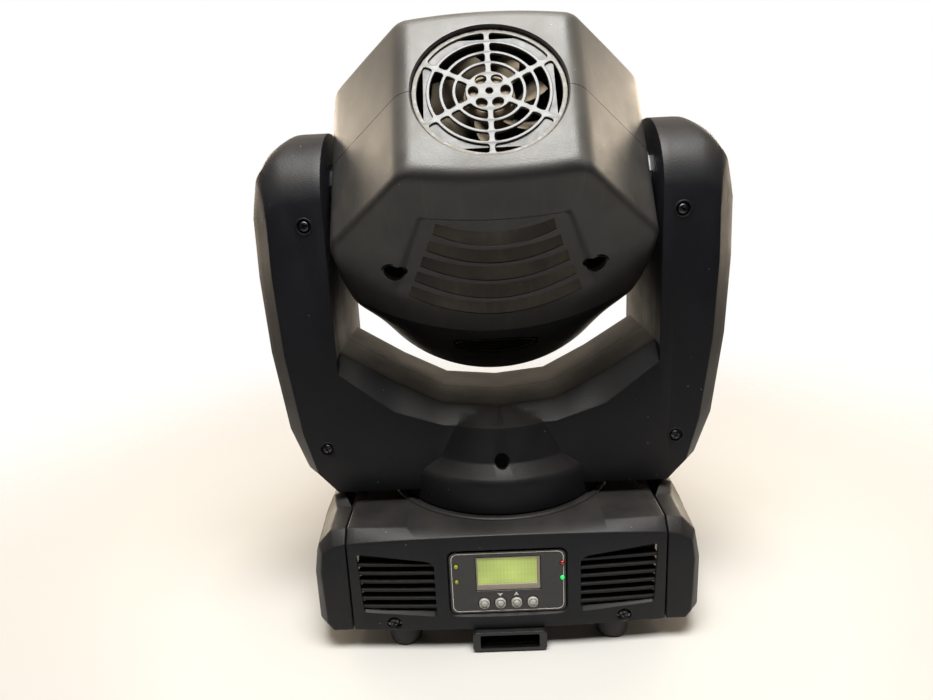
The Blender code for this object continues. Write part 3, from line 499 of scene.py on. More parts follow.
def dusty_grille_abs(colour, dust_colour):
    """Satin grey ABS of the fan grille: fine grain, tan dust caught away from the middle."""
    material, tree, shader = new_material("grey_moulded_abs_dusty")
    place = add_node(tree, "ShaderNodeTexCoord").outputs["Object"]
    flat = add_node(tree, "ShaderNodeMapping", {0: place, 3: (1, 1, 0)}).outputs[0]
    far = add_node(tree, "ShaderNodeVectorMath", {0: flat}, operation="LENGTH").outputs["Value"]
    rim = ramp(tree, far, 0.040, 0.047, 0.05, 0.8)
    caught = times(tree, rim, ramp(tree, noise(tree, 3.5, 4, roughness=0.7), 0.4, 0.6))
    tree.links.new(mixed(tree, caught, colour, dust_colour), shader.inputs["Base Color"])
    tree.links.new(ramp(tree, caught, 0, 1, 0.38, 0.85), shader.inputs["Roughness"])
    shader.inputs["IOR"].default_value = 1.54
    bump(tree, shader, noise(tree, 0.8, 2), 0.06, 0.5)
    return material


def display_film(colour):
    """Lit yellow-green STN display: brightness varies in soft patches, with a faint grid of blank cells."""
    material, tree, shader = new_material("stn_display_film")
    place = add_node(tree, "ShaderNodeTexCoord").outputs["Object"]
    cells = add_node(tree, "ShaderNodeTexBrick", {"Vector": place, "Scale": 1000.0, "Mortar Size": 0.35,
                                                  "Brick Width": 2.4, "Row Height": 4.2,
                                                  "Color1": (1, 1, 1, 1), "Color2": (0.96, 0.96, 0.96, 1),
                                                  "Mortar": (0.86, 0.86, 0.86, 1)}, offset=0.0)
    shade_low = tuple(c * 0.72 for c in colour)
    glow = mixed(tree, ramp(tree, noise(tree, 30, 1), 0.35, 0.65), shade_low, colour)
    film = add_node(tree, "ShaderNodeMix", {0: 0.6, 6: glow, 7: cells.outputs[0]}, data_type="RGBA",
                    blend_type="MULTIPLY").outputs[2]
    tree.links.new(film, shader.inputs["Base Color"])
    tree.links.new(film, shader.inputs["Emission Color"])
    shader.inputs["Emission Strength"].default_value = 0.16
    shader.inputs["Roughness"].default_value = 0.12
    shader.inputs["Coat Weight"].default_value = 0.4
    bump(tree, shader, noise(tree, 9, 1), 0.02, 0.3)
    return material


def cast_epoxy(name, colour, lit):
    """A tinted epoxy LED lens: clear gloss over a cloudy core, brighter where it is lit."""
    material, tree, shader = new_material(name)
    core = mixed(tree, ramp(tree, noise(tree, 1.6, 2), 0.3, 0.7), colour, tuple(c * 0.55 for c in colour))
    tree.links.new(core, shader.inputs["Base Color"])
    tree.links.new(core, shader.inputs["Emission Color"])
    shader.inputs["Emission Strength"].default_value = lit
    shader.inputs["Roughness"].default_value = 0.14
    shader.inputs["IOR"].default_value = 1.52
    shader.inputs["Coat Weight"].default_value = 0.6
    return material


def coated_glass():
    """Polished optical glass with an anti-reflection coat: nearly clear, a faint violet sheen."""
    material, tree, shader = new_material("coated_optical_glass")
    smear = noise(tree, 14, 3)
    tree.links.new(mixed(tree, ramp(tree, smear, 0.4, 0.7, 0, 0.5), linear("#eef0f6"), linear("#dfe2ee")),
                   shader.inputs["Base Color"])
    tree.links.new(ramp(tree, smear, 0.35, 0.7, 0.015, 0.08), shader.inputs["Roughness"])
    shader.inputs["Transmission Weight"].default_value = 1.0
    shader.inputs["IOR"].default_value = 1.52
    return material


def moulded_rubber(name, colour, grain=1.4):
    """Moulded black rubber: matt, with a dusty bloom and small pits."""
    material, tree, shader = new_material(name)
    bloom = ramp(tree, noise(tree, 7, 4), 0.45, 0.75, 0, 0.5)
    tree.links.new(mixed(tree, bloom, colour, linear("#3a3835")), shader.inputs["Base Color"])
    tree.links.new(ramp(tree, bloom, 0, 0.5, 0.62, 0.82), shader.inputs["Roughness"])
    bump(tree, shader, noise(tree, grain, 3), 0.05, 0.6)
    return material


def solder_masked_board():
    """Green solder mask on glass epoxy: glossy, with copper tracks showing as paler lines."""
    material, tree, shader = new_material("solder_masked_glass_epoxy")
    place = add_node(tree, "ShaderNodeTexCoord").outputs["Object"]
    tracks = add_node(tree, "ShaderNodeTexBrick", {"Vector": place, "Scale": 1000.0, "Mortar Size": 0.3,
                                                   "Brick Width": 9.0, "Row Height": 3.0,
                                                   "Color1": (0, 0, 0, 1), "Color2": (0, 0, 0, 1),
                                                   "Mortar": (1, 1, 1, 1)})
    tree.links.new(mixed(tree, tracks.outputs[0], linear("#0f4a2a"), linear("#2c7a48")),
                   shader.inputs["Base Color"])
    shader.inputs["Roughness"].default_value = 0.3
    bump(tree, shader, tracks.outputs[0], 0.04, 0.5)
    return material


def dichroic_wheel():
    """Steel wheel with interference filters: the tint turns round the wheel, filter by filter."""
    material, tree, shader = new_material("dichroic_filter_glass")
    place = add_node(tree, "ShaderNodeTexCoord").outputs["Object"]
    swirl = add_node(tree, "ShaderNodeTexGradient", {0: place}, gradient_type="RADIAL").outputs[1]
    hue = add_node(tree, "ShaderNodeCombineColor", {0: swirl, 1: 0.75, 2: 0.6}, mode="HSV").outputs[0]
    tree.links.new(hue, shader.inputs["Base Color"])
    tree.links.new(ramp(tree, noise(tree, 4, 2), 0.3, 0.7, 0.06, 0.2), shader.inputs["Roughness"])
    shader.inputs["Metallic"].default_value = 0.6
    return material


_finishes = {}


def finish(key):
    """The finish of that name, made the first time it is asked for."""
    if key not in _finishes:
        c = bpy.context.scene.light_colours
        head, body, dust = tuple(c.head), tuple(c.body), tuple(c.dust)
        up = HEAD_PLACE.to_3x3().inverted() @ Vector((0, 0, 1))
        makers = {
            "head_abs": lambda: spark_moulded_abs("black_abs_spark_grain_head", head, dust, 0.3, up,
                                                  0.44, 1.2, 0.05),
            "body_abs": lambda: spark_moulded_abs("black_abs_spark_grain_body", body, dust, 0.07,
                                                  (0, 0, 1), 0.44, 1.0, 0.0, 0.2),
            # louvre blades: the tan mixed on faces that point forward and down is painted light, not dust;
            # the streaks are dust
            "blade_abs": lambda: spark_moulded_abs("black_abs_scuffed_blades_painted_light", linear("#2e3038"), dust, 0.5,
                                                   (0, -0.7, -0.7), 0.4, 1.1, 0.2),
            "trim_abs": lambda: smooth_plastic("black_abs_satin_trim", linear("#131316"), 0.4),
            "panel": lambda: smooth_plastic("printed_polycarbonate_film", linear("#0c0c0e"), 0.22, 5, 0.01,
                                            1.58),
            "ink": lambda: smooth_plastic("screen_printed_ink", linear("#c9c8c2"), 0.5),
            "bezel": lambda: smooth_plastic("tinned_steel_display_frame", linear("#8f8678"), 0.42),
            "button": lambda: smooth_plastic("grey_moulded_button_abs", tuple(c.button), 0.4, 1.2, 0.02),
            "grille": lambda: dusty_grille_abs(tuple(c.grille), dust),
            "display": lambda: display_film(tuple(c.display)),
            "led_amber": lambda: cast_epoxy("amber_led_epoxy", linear("#8a8a1c"), 0.25),
            "led_red": lambda: cast_epoxy("red_led_epoxy", linear("#8e1f1f"), 0.3),
            "led_green": lambda: cast_epoxy("green_led_epoxy", linear("#22c055"), 1.3),
            "screw": lambda: worked_metal("black_oxide_steel", linear("#4c4c50"), 0.34),
            "rubber": lambda: moulded_rubber("moulded_black_rubber", linear("#17171a")),
            "belt": lambda: moulded_rubber("chloroprene_belt", linear("#141416"), 0.9),
            "enamel": lambda: smooth_plastic("black_powder_coated_steel", linear("#0d0d0f"), 0.3, 1.1, 0.05),
            "zinc": lambda: worked_metal("zinc_plated_sheet_steel", linear("#a8aaab"), 0.36),
            "steel": lambda: worked_metal("cold_rolled_steel_sheet", linear("#77797c"), 0.42, (1, 0.05, 1)),
            "motor": lambda: worked_metal("black_painted_motor_steel", linear("#2b2b2e"), 0.45),
            "aluminium": lambda: worked_metal("turned_aluminium", linear("#b9bbbf"), 0.32, (0.05, 1, 1)),
            "heat_sink": lambda: worked_metal("extruded_aluminium", linear("#9fa1a5"), 0.4, (1, 0.04, 1)),
            "gobo": lambda: worked_metal("etched_stainless_steel", linear("#8d8f92"), 0.28),
            "fan": lambda: spark_moulded_abs("dusty_fan_pbt", linear("#222224"), linear("#9a8a70"), 0.75,
                                             (0, -1, 0), 0.55, 1.6),
            "hub": lambda: moulded_rubber("dust_caked_fan_hub", linear("#8a7a62"), 2.4),
            "name_plate": lambda: smooth_plastic("gloss_black_polyester_label", linear("#08080a"), 0.16, 6,
                                                 0.01),
            "gold": lambda: worked_metal("gold_foil_line", linear("#8c7a3c"), 0.35),
            "brass": lambda: worked_metal("nickel_plated_contact", linear("#b5b1a6"), 0.25),
            "glass": coated_glass,
            "board": solder_masked_board,
            "dichroic": dichroic_wheel,
        }
        _finishes[key] = makers[key]()
    return _finishes[key]


# ---------------------------------------------------------------- head

HEAD_STATIONS = (                # along the beam: half width, corner, crown, blend, round radius
    (-104, 54, 58, 62, 0.0, 100),
    (-68, 82.5, 61.5, 73, 0.0, 100),
    (-32, 111, 64, 84, 0.0, 112),
    (0, 111, 70, 95, 0.05, 112),
    (42, 111, 76, 104, 0.3, 112),
    (72, 110, 70, 108, 0.75, 112),
    (96, 108, 64, 108, 1.0, 110),
    (102, 106, 60, 106, 1.0, 106.5),
)
REAR_Y = HEAD_STATIONS[0][0]     # the rear face with the fan's hole
COVER_SPLIT_Y = 30.0             # where the front cover meets the two rear half covers
HEAD_SCREWS = ((-68.0, -21.5), (68.0, -21.5))


def blend_of(a, b, t):
    return tuple(p + (q - p) * t for p, q in zip(a, b))


def station_at(y):
    for a, b in zip(HEAD_STATIONS, HEAD_STATIONS[1:]):
        if a[0] <= y <= b[0]:
            return blend_of(a, b, (y - a[0]) / (b[0] - a[0]))
    return HEAD_STATIONS[-1]


def rounded_bend(before, bend, after, steps):
    """Stations along a curve that cuts a bend's corner."""
    made = []
    for k in range(steps + 1):
        t = k / steps
        made.append(tuple(p * (1 - t) ** 2 + q * 2 * t * (1 - t) + r * t * t
                          for p, q, r in zip(before, bend, after)))
    return made


def head_stations(reach, step):
    """All stations from rear to front: rounded rear edge and bends, and even steps between."""
    first = HEAD_STATIONS[0]
    inset = (first[0], first[1] - reach, first[2] - reach, first[3] - reach, 0.0, first[5])
    curve = rounded_bend(inset, first, station_at(first[0] + reach), 6)
    bends = ((-32, 8.0), (0, 10.0), (42, 11.0), (72, 11.0), (96, 3.5))
    for place, half in bends:
        y = curve[-1][0] + step
        while y < place - half - step / 2:
            curve.append(station_at(y))
            y += step
        curve += rounded_bend(station_at(place - half), station_at(place), station_at(place + half), 6)
    return curve + [HEAD_STATIONS[-1]]


def head_quarter(station, soft, count):
    """A quarter of the head's section, side to crown: flat side, rounded corner, bowed crown."""
    _, half_x, corner_z, crown_z, blend, radius = station
    lean = math.radians(33)

    def crown(t):
        return (half_x * (1 - t), corner_z + (crown_z - corner_z) * (1 - (1 - t) ** 2))

    start = soft / half_x
    points = [(half_x, (corner_z - soft) * k / 4, lean * 0.9 * k / 4) for k in range(4)]
    curve = rounded_bend((half_x, corner_z - soft), (half_x, corner_z), crown(start), 6)
    points += [(x, z, lean * (0.9 + 0.2 * k / 6)) for k, (x, z) in enumerate(curve)]
    for k in range(1, count + 1):
        t = start + (1 - start) * k / count
        points.append((*crown(t), lean * 1.1 + (math.pi / 2 - lean * 1.1) * k / count))
    return [(x * (1 - blend) + radius * math.cos(angle) * blend,
             z * (1 - blend) + radius * math.sin(angle) * blend) for x, z, angle in points]


def head_ring(station, soft, count, inset=0.0):
    y, half_x, corner, crown, blend, radius = station
    shrunk = (y, half_x - inset, corner - inset, crown - inset, blend, radius - inset)
    quarter = head_quarter(shrunk, soft, count)
    upper = quarter + [(-x, z) for x, z in reversed(quarter[:-1])]
    lower = [(x, -z) for x, z in reversed(upper[1:-1])]
    return [Vector((x, y, z)) for x, z in upper + lower]


def head_solid(low, high, sizes, count, step):
    """The head's body between two places along the beam."""
    stations = head_stations(sizes.edge_round / MM, step)
    first = [s for s in stations if s[0] < low + 0.41] if low <= REAR_Y else [station_at(low)]
    middle = [s for s in stations if low + 0.4 < s[0] < high - 0.4]
    rings = first + middle + [station_at(high)]
    return loft([head_ring(s, sizes.corner_round / MM, count) for s in rings])


def crown_height(x, y):
    """How far the crown is from the beam axis at a place."""
    curve = head_quarter(station_at(y), 1.0, 40)
    for (x0, z0), (x1, z1) in zip(curve, curve[1:]):
        if x1 <= abs(x) <= x0:
            return z1 + (z0 - z1) * (abs(x) - x1) / (x0 - x1)
    return curve[-1][1]


def louvre_panel_depth(x, y):
    """Share of the full depth of the sunk panel round the louvre at a place on the underside."""
    edge = 48.5 + 0.36 * (y + 70)
    sides = smoothstep((edge - abs(x)) / 4.2)
    rear = smoothstep((y + 72.4) / 2.6)
    fade = 1 - smoothstep((y + 14) / 18)
    return sides * rear * fade


def louvre_edge(middle, end, half, steps=20):
    """Points of an arc from its middle and end places along the beam."""
    points = []
    for k in range(steps + 1):
        t = 2 * k / steps - 1
        points.append((half * t, middle + (end - middle) * t * t))
    return points


def louvre_edges(i):
    """The rear and the lens-side edge of one slot."""
    return (louvre_edge(-61 + 14.8 * i, -67 + 14 * i, 36.6 + 5.1 * i),
            louvre_edge(-49 + 14.8 * i, -58 + 14.1 * i, 38.9 + 5.3 * i))


def half_cover(name, side, sizes):
    """Upper or lower rear half of the head, hollow, with fan hole and shaft holes."""
    count = 46 if side < 0 else 18
    bm = head_solid(REAR_Y, COVER_SPLIT_Y - GAP, sizes, count, step=2.4 if side < 0 else 5.0)
    if side < 0:
        depth = sizes.louvre_depth / MM
        for vert in bm.verts:
            if vert.co.z < -40 and vert.co.y > -100:
                vert.co.z += depth * louvre_panel_depth(vert.co.x, vert.co.y)
    cover = piece(name, bm, finish("head_abs"), HEAD_PLACE)
    low, high = sorted((-side * 200, side * GAP / 2))
    carve(cover, prism(rectangle(-200, 200, -200, 200), "Z", low, high))
    rings = [station_at(-101)] + [station_at(y) for y in (-68, -32, 0, 15)] + [station_at(COVER_SPLIT_Y)]
    inner = [head_ring(s, 4.0, 8, WALL) for s in rings]
    inner.append([Vector((p.x, p.y + 10, p.z)) for p in inner[-1]])
    carve(cover, loft(inner))
    carve(cover, stack("Y", [(49.4, -106), (48.6, -104), (47.6, -102.8), (47.6, -90)], 96))
    carve(cover, merged([stack("X", [(21, arm * 100), (21, arm * 120)], 48) for arm in (-1, 1)]))
    return cover


class MOVINGHEAD_OT_rear_covers(bpy.types.Operator):
    """Upper and lower half covers of the head, with the louvre and the screw wells"""
    bl_idname = "movinghead.rear_covers"
    bl_label = "Head half covers"

    def execute(self, context):
        sizes = context.scene.head_sizes
        upper = half_cover("head_top_shell", 1, sizes)
        put(upper, "head", "black_abs", "head_upper_cover")
        lower = half_cover("head_underside_shell", -1, sizes)
        for i in range(5):
            near, far = louvre_edges(i)
            carve(lower, prism(near + list(reversed(far)), "Z", -130, -40))
        for x, y in HEAD_SCREWS:
            lobe = stack("Z", [(4.4, -110), (4.4, -60)], 32, (x - math.copysign(5.2, x), y - 2.6))
            carve(lower, stack("Z", [(7.0, -110), (7.0, -60)], 40, (x, y)))
            carve(lower, lobe)
        put(lower, "head", "black_abs", "head_lower_cover")
        return {"FINISHED"}


class MOVINGHEAD_OT_louvre_blades(bpy.types.Operator):
    """Slanted curved blades behind the slots of the underside louvre"""
    bl_idname = "movinghead.louvre_blades"
    bl_label = "Louvre blades"

    def execute(self, context):
        drop = context.scene.head_sizes.louvre_depth / MM
        blades = []
        for i in range(5):
            rings = []
            for x, y in louvre_edges(i)[1]:
                face = crown_height(x, y) - drop * louvre_panel_depth(x, y)
                rings.append([(x, y - 0.2, 0.6 - face), (x, y + 1.2, 2.4 - face),
                              (x, y - 5.0, 11.4 - face), (x, y - 6.4, 11.0 - face)])
            blades.append(loft(rings))
        put(piece("louvre_blades", merged(blades), finish("blade_abs"), HEAD_PLACE), "head", "black_abs")
        return {"FINISHED"}


class MOVINGHEAD_OT_screw_wells(bpy.types.Operator):
    """Wells and recessed screws that hold the two half covers together"""
    bl_idname = "movinghead.screw_wells"
    bl_label = "Head screws and wells"

    def execute(self, context):
        for word, (x, y) in zip(("left", "right"), HEAD_SCREWS):
            tube = turned([(7.2, -77.4), (8.6, -77.4), (8.6, -66), (2.2, -66), (2.2, -67.6), (7.2, -67.6)],
                          "Z", 40, (x, y))
            put(piece(f"screw_well_{word}", tube, finish("body_abs"), HEAD_PLACE), "head", "black_abs")
            screw = cross_screw(f"head_clamp_screw_{word}", 3.2, 2.2, 14)
            screw.matrix_world = HEAD_PLACE @ at(x, y, -70.4) @ FACING_DOWN
            put(screw, "head", "black_screw", f"head_screw_{word}")
        return {"FINISHED"}


class MOVINGHEAD_OT_front_cover(bpy.types.Operator):
    """Round front cover with the lens mouth, its trim ring and the sunk oval plate"""
    bl_idname = "movinghead.front_cover"
    bl_label = "Front cover and oval plate"

    def execute(self, context):
        sizes = context.scene.head_sizes
        cover = piece("head_front_shell", head_solid(COVER_SPLIT_Y, 102, sizes, 30, step=5.0),
                      finish("trim_abs"), HEAD_PLACE)
        rings = [head_ring(station_at(y), 4.0, 14, WALL) for y in (COVER_SPLIT_Y, 42, 58, 72, 84, 94)]
        rings.insert(0, [Vector((p.x, p.y - 10, p.z)) for p in rings[0]])
        carve(cover, loft(rings))
        carve(cover, stack("Y", [(62, 80), (62, 99), (66, 103), (66, 120)], 96))
        carve(cover, oval_plate(0.7, -6.0, 1.3))
        put(cover, "head", "black_trim", "head_front_cover")
        put(piece("oval_plate", oval_plate(0.0, 0.5, 1.2), finish("name_plate"), HEAD_PLACE, 60),
            "head", "name_plate", "name_plate")
        put(piece("oval_plate_line", oval_line(), finish("gold"), HEAD_PLACE, 60), "head", "name_plate")
        ring = turned([(61.5, 98.6), (64.6, 99.6), (64.6, 96), (61.5, 95)], "Y", 96)
        put(piece("lens_ring", ring, finish("enamel"), HEAD_PLACE), "head", "black_trim")
        hood = turned([(61.4, 84), (61.4, 82.4), (20, 40), (18.6, 40.6), (58, 82), (58, 84)], "Y", 96)
        put(piece("lens_hood", hood, finish("trim_abs"), HEAD_PLACE), "head", "black_trim")
        return {"FINISHED"}


def oval_reach(k, steps, grow):
    """Along and across half sizes of the oval plate at one step of its length."""
    reach = math.sin(math.radians(-86 + 172 * k / steps))
    return (32 + grow) * reach, 1.2 + grow + 8.8 * math.sqrt(1 - reach * reach)


def oval_plate(grow, top, bottom):
    """The oval plate, or its seat when grown, from top to bottom below the crown there."""
    rings = []
    for k in range(25):
        x, half = oval_reach(k, 24, grow)
        ring = []
        for level in (top, bottom):
            ring.append([(x, 50.5 + half * s, level) for s in (-1, -0.5, 0, 0.5, 1)])
        whole = ring[0] + list(reversed(ring[1]))
        rings.append([Vector((a, b, depth - crown_height(a, b))) for a, b, depth in whole])
    return loft(rings)


def oval_line():
    """A fine raised line just inside the oval plate's edge."""
    outer, inner = [], []
    for grow, line in ((-1.6, outer), (-2.1, inner)):
        half_turn = [oval_reach(k, 24, grow) for k in range(25)]
        line += [(x, 50.5 + h) for x, h in half_turn] + [(x, 50.5 - h) for x, h in reversed(half_turn)]
    bm = bmesh.new()
    rows = []
    for line, level in ((outer, 0.44), (inner, 0.44), (inner, 0.7), (outer, 0.7)):
        rows.append([bm.verts.new((x, y, level - crown_height(x, y))) for x, y in line])
    count = len(outer)
    for k in range(4):
        this, following = rows[k], rows[(k + 1) % 4]
        for i in range(count):
            j = (i + 1) % count
            bm.faces.new((this[i], this[j], following[j], following[i]))
    return bm


class MOVINGHEAD_OT_lens(bpy.types.Operator):
    """Front lens: a thick polished glass with a domed face"""
    bl_idname = "movinghead.lens"
    bl_label = "Front lens"

    def execute(self, context):
        steps = [(60.8, 84.4)] + [(60.8 * math.cos(a) + 0.4, 87 + 11.5 * math.sin(a))
                                  for a in [math.radians(88 * k / 16) for k in range(17)]]
        put(piece("domed_lens", stack("Y", steps, 96), finish("glass"), HEAD_PLACE, 50), "head",
            "lens_glass", "front_lens")
        return {"FINISHED"}


def ring_gap(inner, outer, spoke):
    """One rounded gap of the grille, between two rings and two spokes."""
    margin = 1.75
    arcs = []
    for radius, order in ((outer, 1), (inner, -1)):
        lean = margin / radius
        start = math.radians(30 + 60 * spoke) + lean
        end = math.radians(90 + 60 * spoke) - lean
        turns = [start + (end - start) * k / 10 for k in range(11)]
        arcs.append([(radius * math.cos(t), radius * math.sin(t)) for t in turns][::order])
    outline = arcs[0] + arcs[1]
    rounded = []
    ends = {0, 10, 11, 21}
    for i, corner in enumerate(outline):
        if i in ends:
            before, after = Vector(outline[i - 1]), Vector(outline[(i + 1) % len(outline)])
            here = Vector(corner)
            start = here + (before - here).normalized() * min(2.1, (before - here).length * 0.46)
            end = here + (after - here).normalized() * min(2.1, (after - here).length * 0.46)
            for k in range(5):
                t = k / 4
                rounded.append(tuple(start * (1 - t) ** 2 + here * 2 * t * (1 - t) + end * t ** 2))
        else:
            rounded.append(corner)
    return rounded


class MOVINGHEAD_OT_fan_grille(bpy.types.Operator):
    """Round fan grille: four rows of gaps, six spokes and a hub with oval holes"""
    bl_idname = "movinghead.fan_grille"
    bl_label = "Fan grille"

    def execute(self, context):
        outlines = [circle(47.1, 120), circle(2.2, 20)]
        for spoke in range(6):
            oval = [(9.8 + 3.0 * x, 3.5 * z) for x, z in circle(1.0, 24)]
            outlines.append(spun(oval, math.radians(60 * spoke)))
            for row in range(4):
                inner = 14.6 + 7.95 * row
                outlines.append(ring_gap(inner, inner + 5.75, spoke))
        recess = context.scene.head_sizes.grille_recess
        place = HEAD_PLACE @ at(0, REAR_Y + recess / MM, 0) @ FACING_FRONT
        put(plate("grille_disc", outlines, 1.9, 0.45, finish("grille"), place), "head", "grille_grey",
            "fan_grille")
        return {"FINISHED"}


class MOVINGHEAD_OT_fan(bpy.types.Operator):
    """Box fan behind the grille: frame and bladed rotor with a dusty hub"""
    bl_idname = "movinghead.fan"
    bl_label = "Fan frame and rotor"

    def execute(self, context):
        rim = filleted(rectangle(-40, 40, -40, 40), 7)
        frame_plate = plate("fan_housing", [rim, circle(38, 72)], 2.2, 0.4, finish("fan"),
                            HEAD_PLACE @ at(0, -99, 0) @ FACING_FRONT)
        put(frame_plate, "head", "black_trim")
        hub = stack("Y", [(4, -98), (13.4, -97.7), (15.4, -96.2), (16, -94), (16, -80)], 48)
        put(piece("rotor_hub", hub, finish("hub"), HEAD_PLACE), "fan", "fan_black", "fan_rotor")
        blades = []
        count = context.scene.head_sizes.blades
        for i in range(count):
            rings = []
            for k in range(9):
                radius = 15.4 + 21 * k / 8
                sweep = 2 * math.pi * i / count + 0.42 * k / 8
                spread = 0.40 - 0.012 * k
                ring = []
                for turn, along in ((-spread, -95.5), (0.0, -89.8), (spread, -81.5)):
                    ring.append((radius * math.cos(sweep + turn), along, radius * math.sin(sweep + turn)))
                back = [(x, y + 1.5, z) for x, y, z in reversed(ring)]
                rings.append(ring + back)
            blades.append(loft(rings))
        put(piece("rotor_blades", merged(blades), finish("fan"), HEAD_PLACE, 50), "fan", "fan_black")
        return {"FINISHED"}


# ---------------------------------------------------------------- screws

def cross_screw(name, radius, head, length):
    """A domed screw along -Z with its face up and a cross recess."""
    steps = [(radius * 0.25, 0.0), (radius * 0.62, -0.06 * head), (radius * 0.88, -0.25 * head),
             (radius, -0.6 * head), (radius, -head), (radius * 0.5, -head), (radius * 0.5, -length)]
    screw = piece(name, stack("Z", steps, 36), finish("screw"), None, 40)
    for turn in (0, math.pi / 2):
        slot = spun(rectangle(-0.62 * radius, 0.62 * radius, -0.14 * radius, 0.14 * radius), turn)
        tip = [(x * 0.4, y * 0.7) for x, y in slot]
        carve(screw, loft([[(x, y, 1.0) for x, y in slot], [(x, y, -0.35 * head) for x, y in slot],
                           [(x, y, -0.85 * head) for x, y in tip]]), sharp=40)
    return screw


# ---------------------------------------------------------------- yoke

YOKE_HALF_Y = 54.8
BEVEL_Y = 41.0                   # the outline narrows from here out to the faces
SHAFT_Z = TILT["pos_m"][2] / MM
PORT_Z = 114.7                   # middle of the round port in the turret
YOKE_SCREWS = ((127.6, 122.5), (127.4, 285.0))
YOKE_OUTSIDE = ((123.5, 87.3, 1.0), (146, 103, 10), (157, 135, 13), (164, 195, 13), (166, 250, 13),
                (165, 292, 13), (160.5, 315, 12), (154, 333, 11), (145, 346.6, 9))
YOKE_INSIDE = ((114.3, 192, 12.5), (76, 168, 19), (41, 150, 12.5), (0, 146, 11))


def between_points(table, value, face, key):
    """Read x from a table of (x, z, shrink) points at a height, or z at an x."""
    for a, b in zip(table, table[1:]):
        low, high = sorted((a[key], b[key]))
        if low <= value <= high:
            t = (value - a[key]) / (b[key] - a[key])
            other = a[1 - key] + (b[1 - key] - a[1 - key]) * t
            return other - (a[2] + (b[2] - a[2]) * t) * face
    return table[-1][1 - key] - table[-1][2] * face


def yoke_ring(y, inset=0.0):
    """The yoke's outline from the front at one depth, both arms and the crossbar."""
    reach = min(abs(y), YOKE_HALF_Y)
    face = max(0.0, (reach - BEVEL_Y) / (YOKE_HALF_Y - BEVEL_Y))
    top = 291 + math.sqrt(max(0.0, 55.6 ** 2 - reach ** 2)) - inset
    round_top = 13.0
    heights = [87.3 + inset, 95, 103, 119, 135, 155, 175, 195, 222, 250]
    heights += [250 + (top - round_top - 250) * k / 8 for k in range(1, 9)]
    heights += [top - round_top + round_top * math.sin(math.radians(90 * k / 8)) for k in range(1, 9)]
    points = []
    for z in heights:
        x = between_points(YOKE_OUTSIDE, min(z, 346.6), face, 1) - inset
        if z > top - round_top:
            lift = (z - (top - round_top)) / round_top
            x -= round_top * (1 - math.sqrt(max(0.0, 1 - lift * lift)))
        points.append((x, z))
    last = points[-1][0]
    inner_x = 114.3 + inset
    points += [(last + (inner_x - last) * k / 5, top) for k in range(1, 6)]
    for a, b in zip(YOKE_INSIDE, YOKE_INSIDE[1:]):
        for k in range(4):
            t = k / 4
            x = a[0] + (b[0] - a[0]) * t
            z = a[1] - a[2] * face + (b[1] - b[2] * face - a[1] + a[2] * face) * t
            points.append((x + (inset if a[0] > 100 and k == 0 else 0.0), z - inset * 1.15))
    points.append((0.0, YOKE_INSIDE[-1][1] - YOKE_INSIDE[-1][2] * face - inset))
    left = [(-x, z) for x, z in reversed(points) if x > 1e-6]
    return [Vector((x, y, z)) for x, z in points + left]


def turret(grow=0.0, foot=79.0, crown=145.9):
    """The stepped cone that covers the pan hub, standing out of the crossbar."""
    steps = [(82, foot), (81.6, 99), (81, 102), (79.4, 104.5), (71.2, 112), (70.3, 113.6), (63.8, 136),
             (63.2, 137.1), (62, 137.8), (41, crown)]
    return stack("Z", [(radius - grow, z) for radius, z in steps], 120)


class MOVINGHEAD_OT_yoke_covers(bpy.types.Operator):
    """Front and rear moulded halves of the yoke: two arms, crossbar and turret"""
    bl_idname = "movinghead.yoke_covers"
    bl_label = "Yoke covers"

    def execute(self, context):
        sizes = context.scene.yoke_sizes
        for name, side, node in (("yoke_front_shell", -1, "yoke_front_cover"),
                                 ("yoke_rear_shell", 1, "yoke_rear_cover")):
            places = [54.8, 53.6, 51.8, 49.4, 46, 41, 35, 28, 20, 10, -4]
            cover = piece(name, loft([yoke_ring(side * y) for y in places]), finish("body_abs"))
            soften(cover, sizes.edge_round, 3, 27)
            carve(cover, turret(), "UNION")
            hollow = piece("hollow", loft([yoke_ring(side * y, WALL) for y in (52.2, 47, 41, 30, 16, -9)]))
            carve(hollow, turret(WALL, 70.0, 142.0), "UNION")
            inner = bmesh.new()
            inner.from_mesh(hollow.data)
            bmesh.ops.scale(inner, vec=(1000, 1000, 1000), verts=inner.verts)
            bpy.data.objects.remove(hollow)
            carve(cover, inner)
            low, high = sorted((-side * 200, side * GAP / 2))
            carve(cover, prism(rectangle(-300, 300, 0, 500), "Y", low, high))
            for arm in (-1, 1):
                carve(cover, stack("X", [(20.5, arm * 105), (20.5, arm * 120)], 48, (0, SHAFT_Z)))
            if side < 0:
                carve(cover, stack("Y", [(5.4, -90), (5.4, -60)], 40, (0, PORT_Z)))
                for x, z in YOKE_SCREWS:
                    for arm in (-1, 1):
                        sink = stack("Y", [(5.4, -70), (5.0, -54.8), (4.7, -53.2), (2.0, -53.1), (2.0, -45)],
                                     40, (arm * x, z))
                        carve(cover, sink)
            put(cover, "yoke", "black_abs", node)
        return {"FINISHED"}


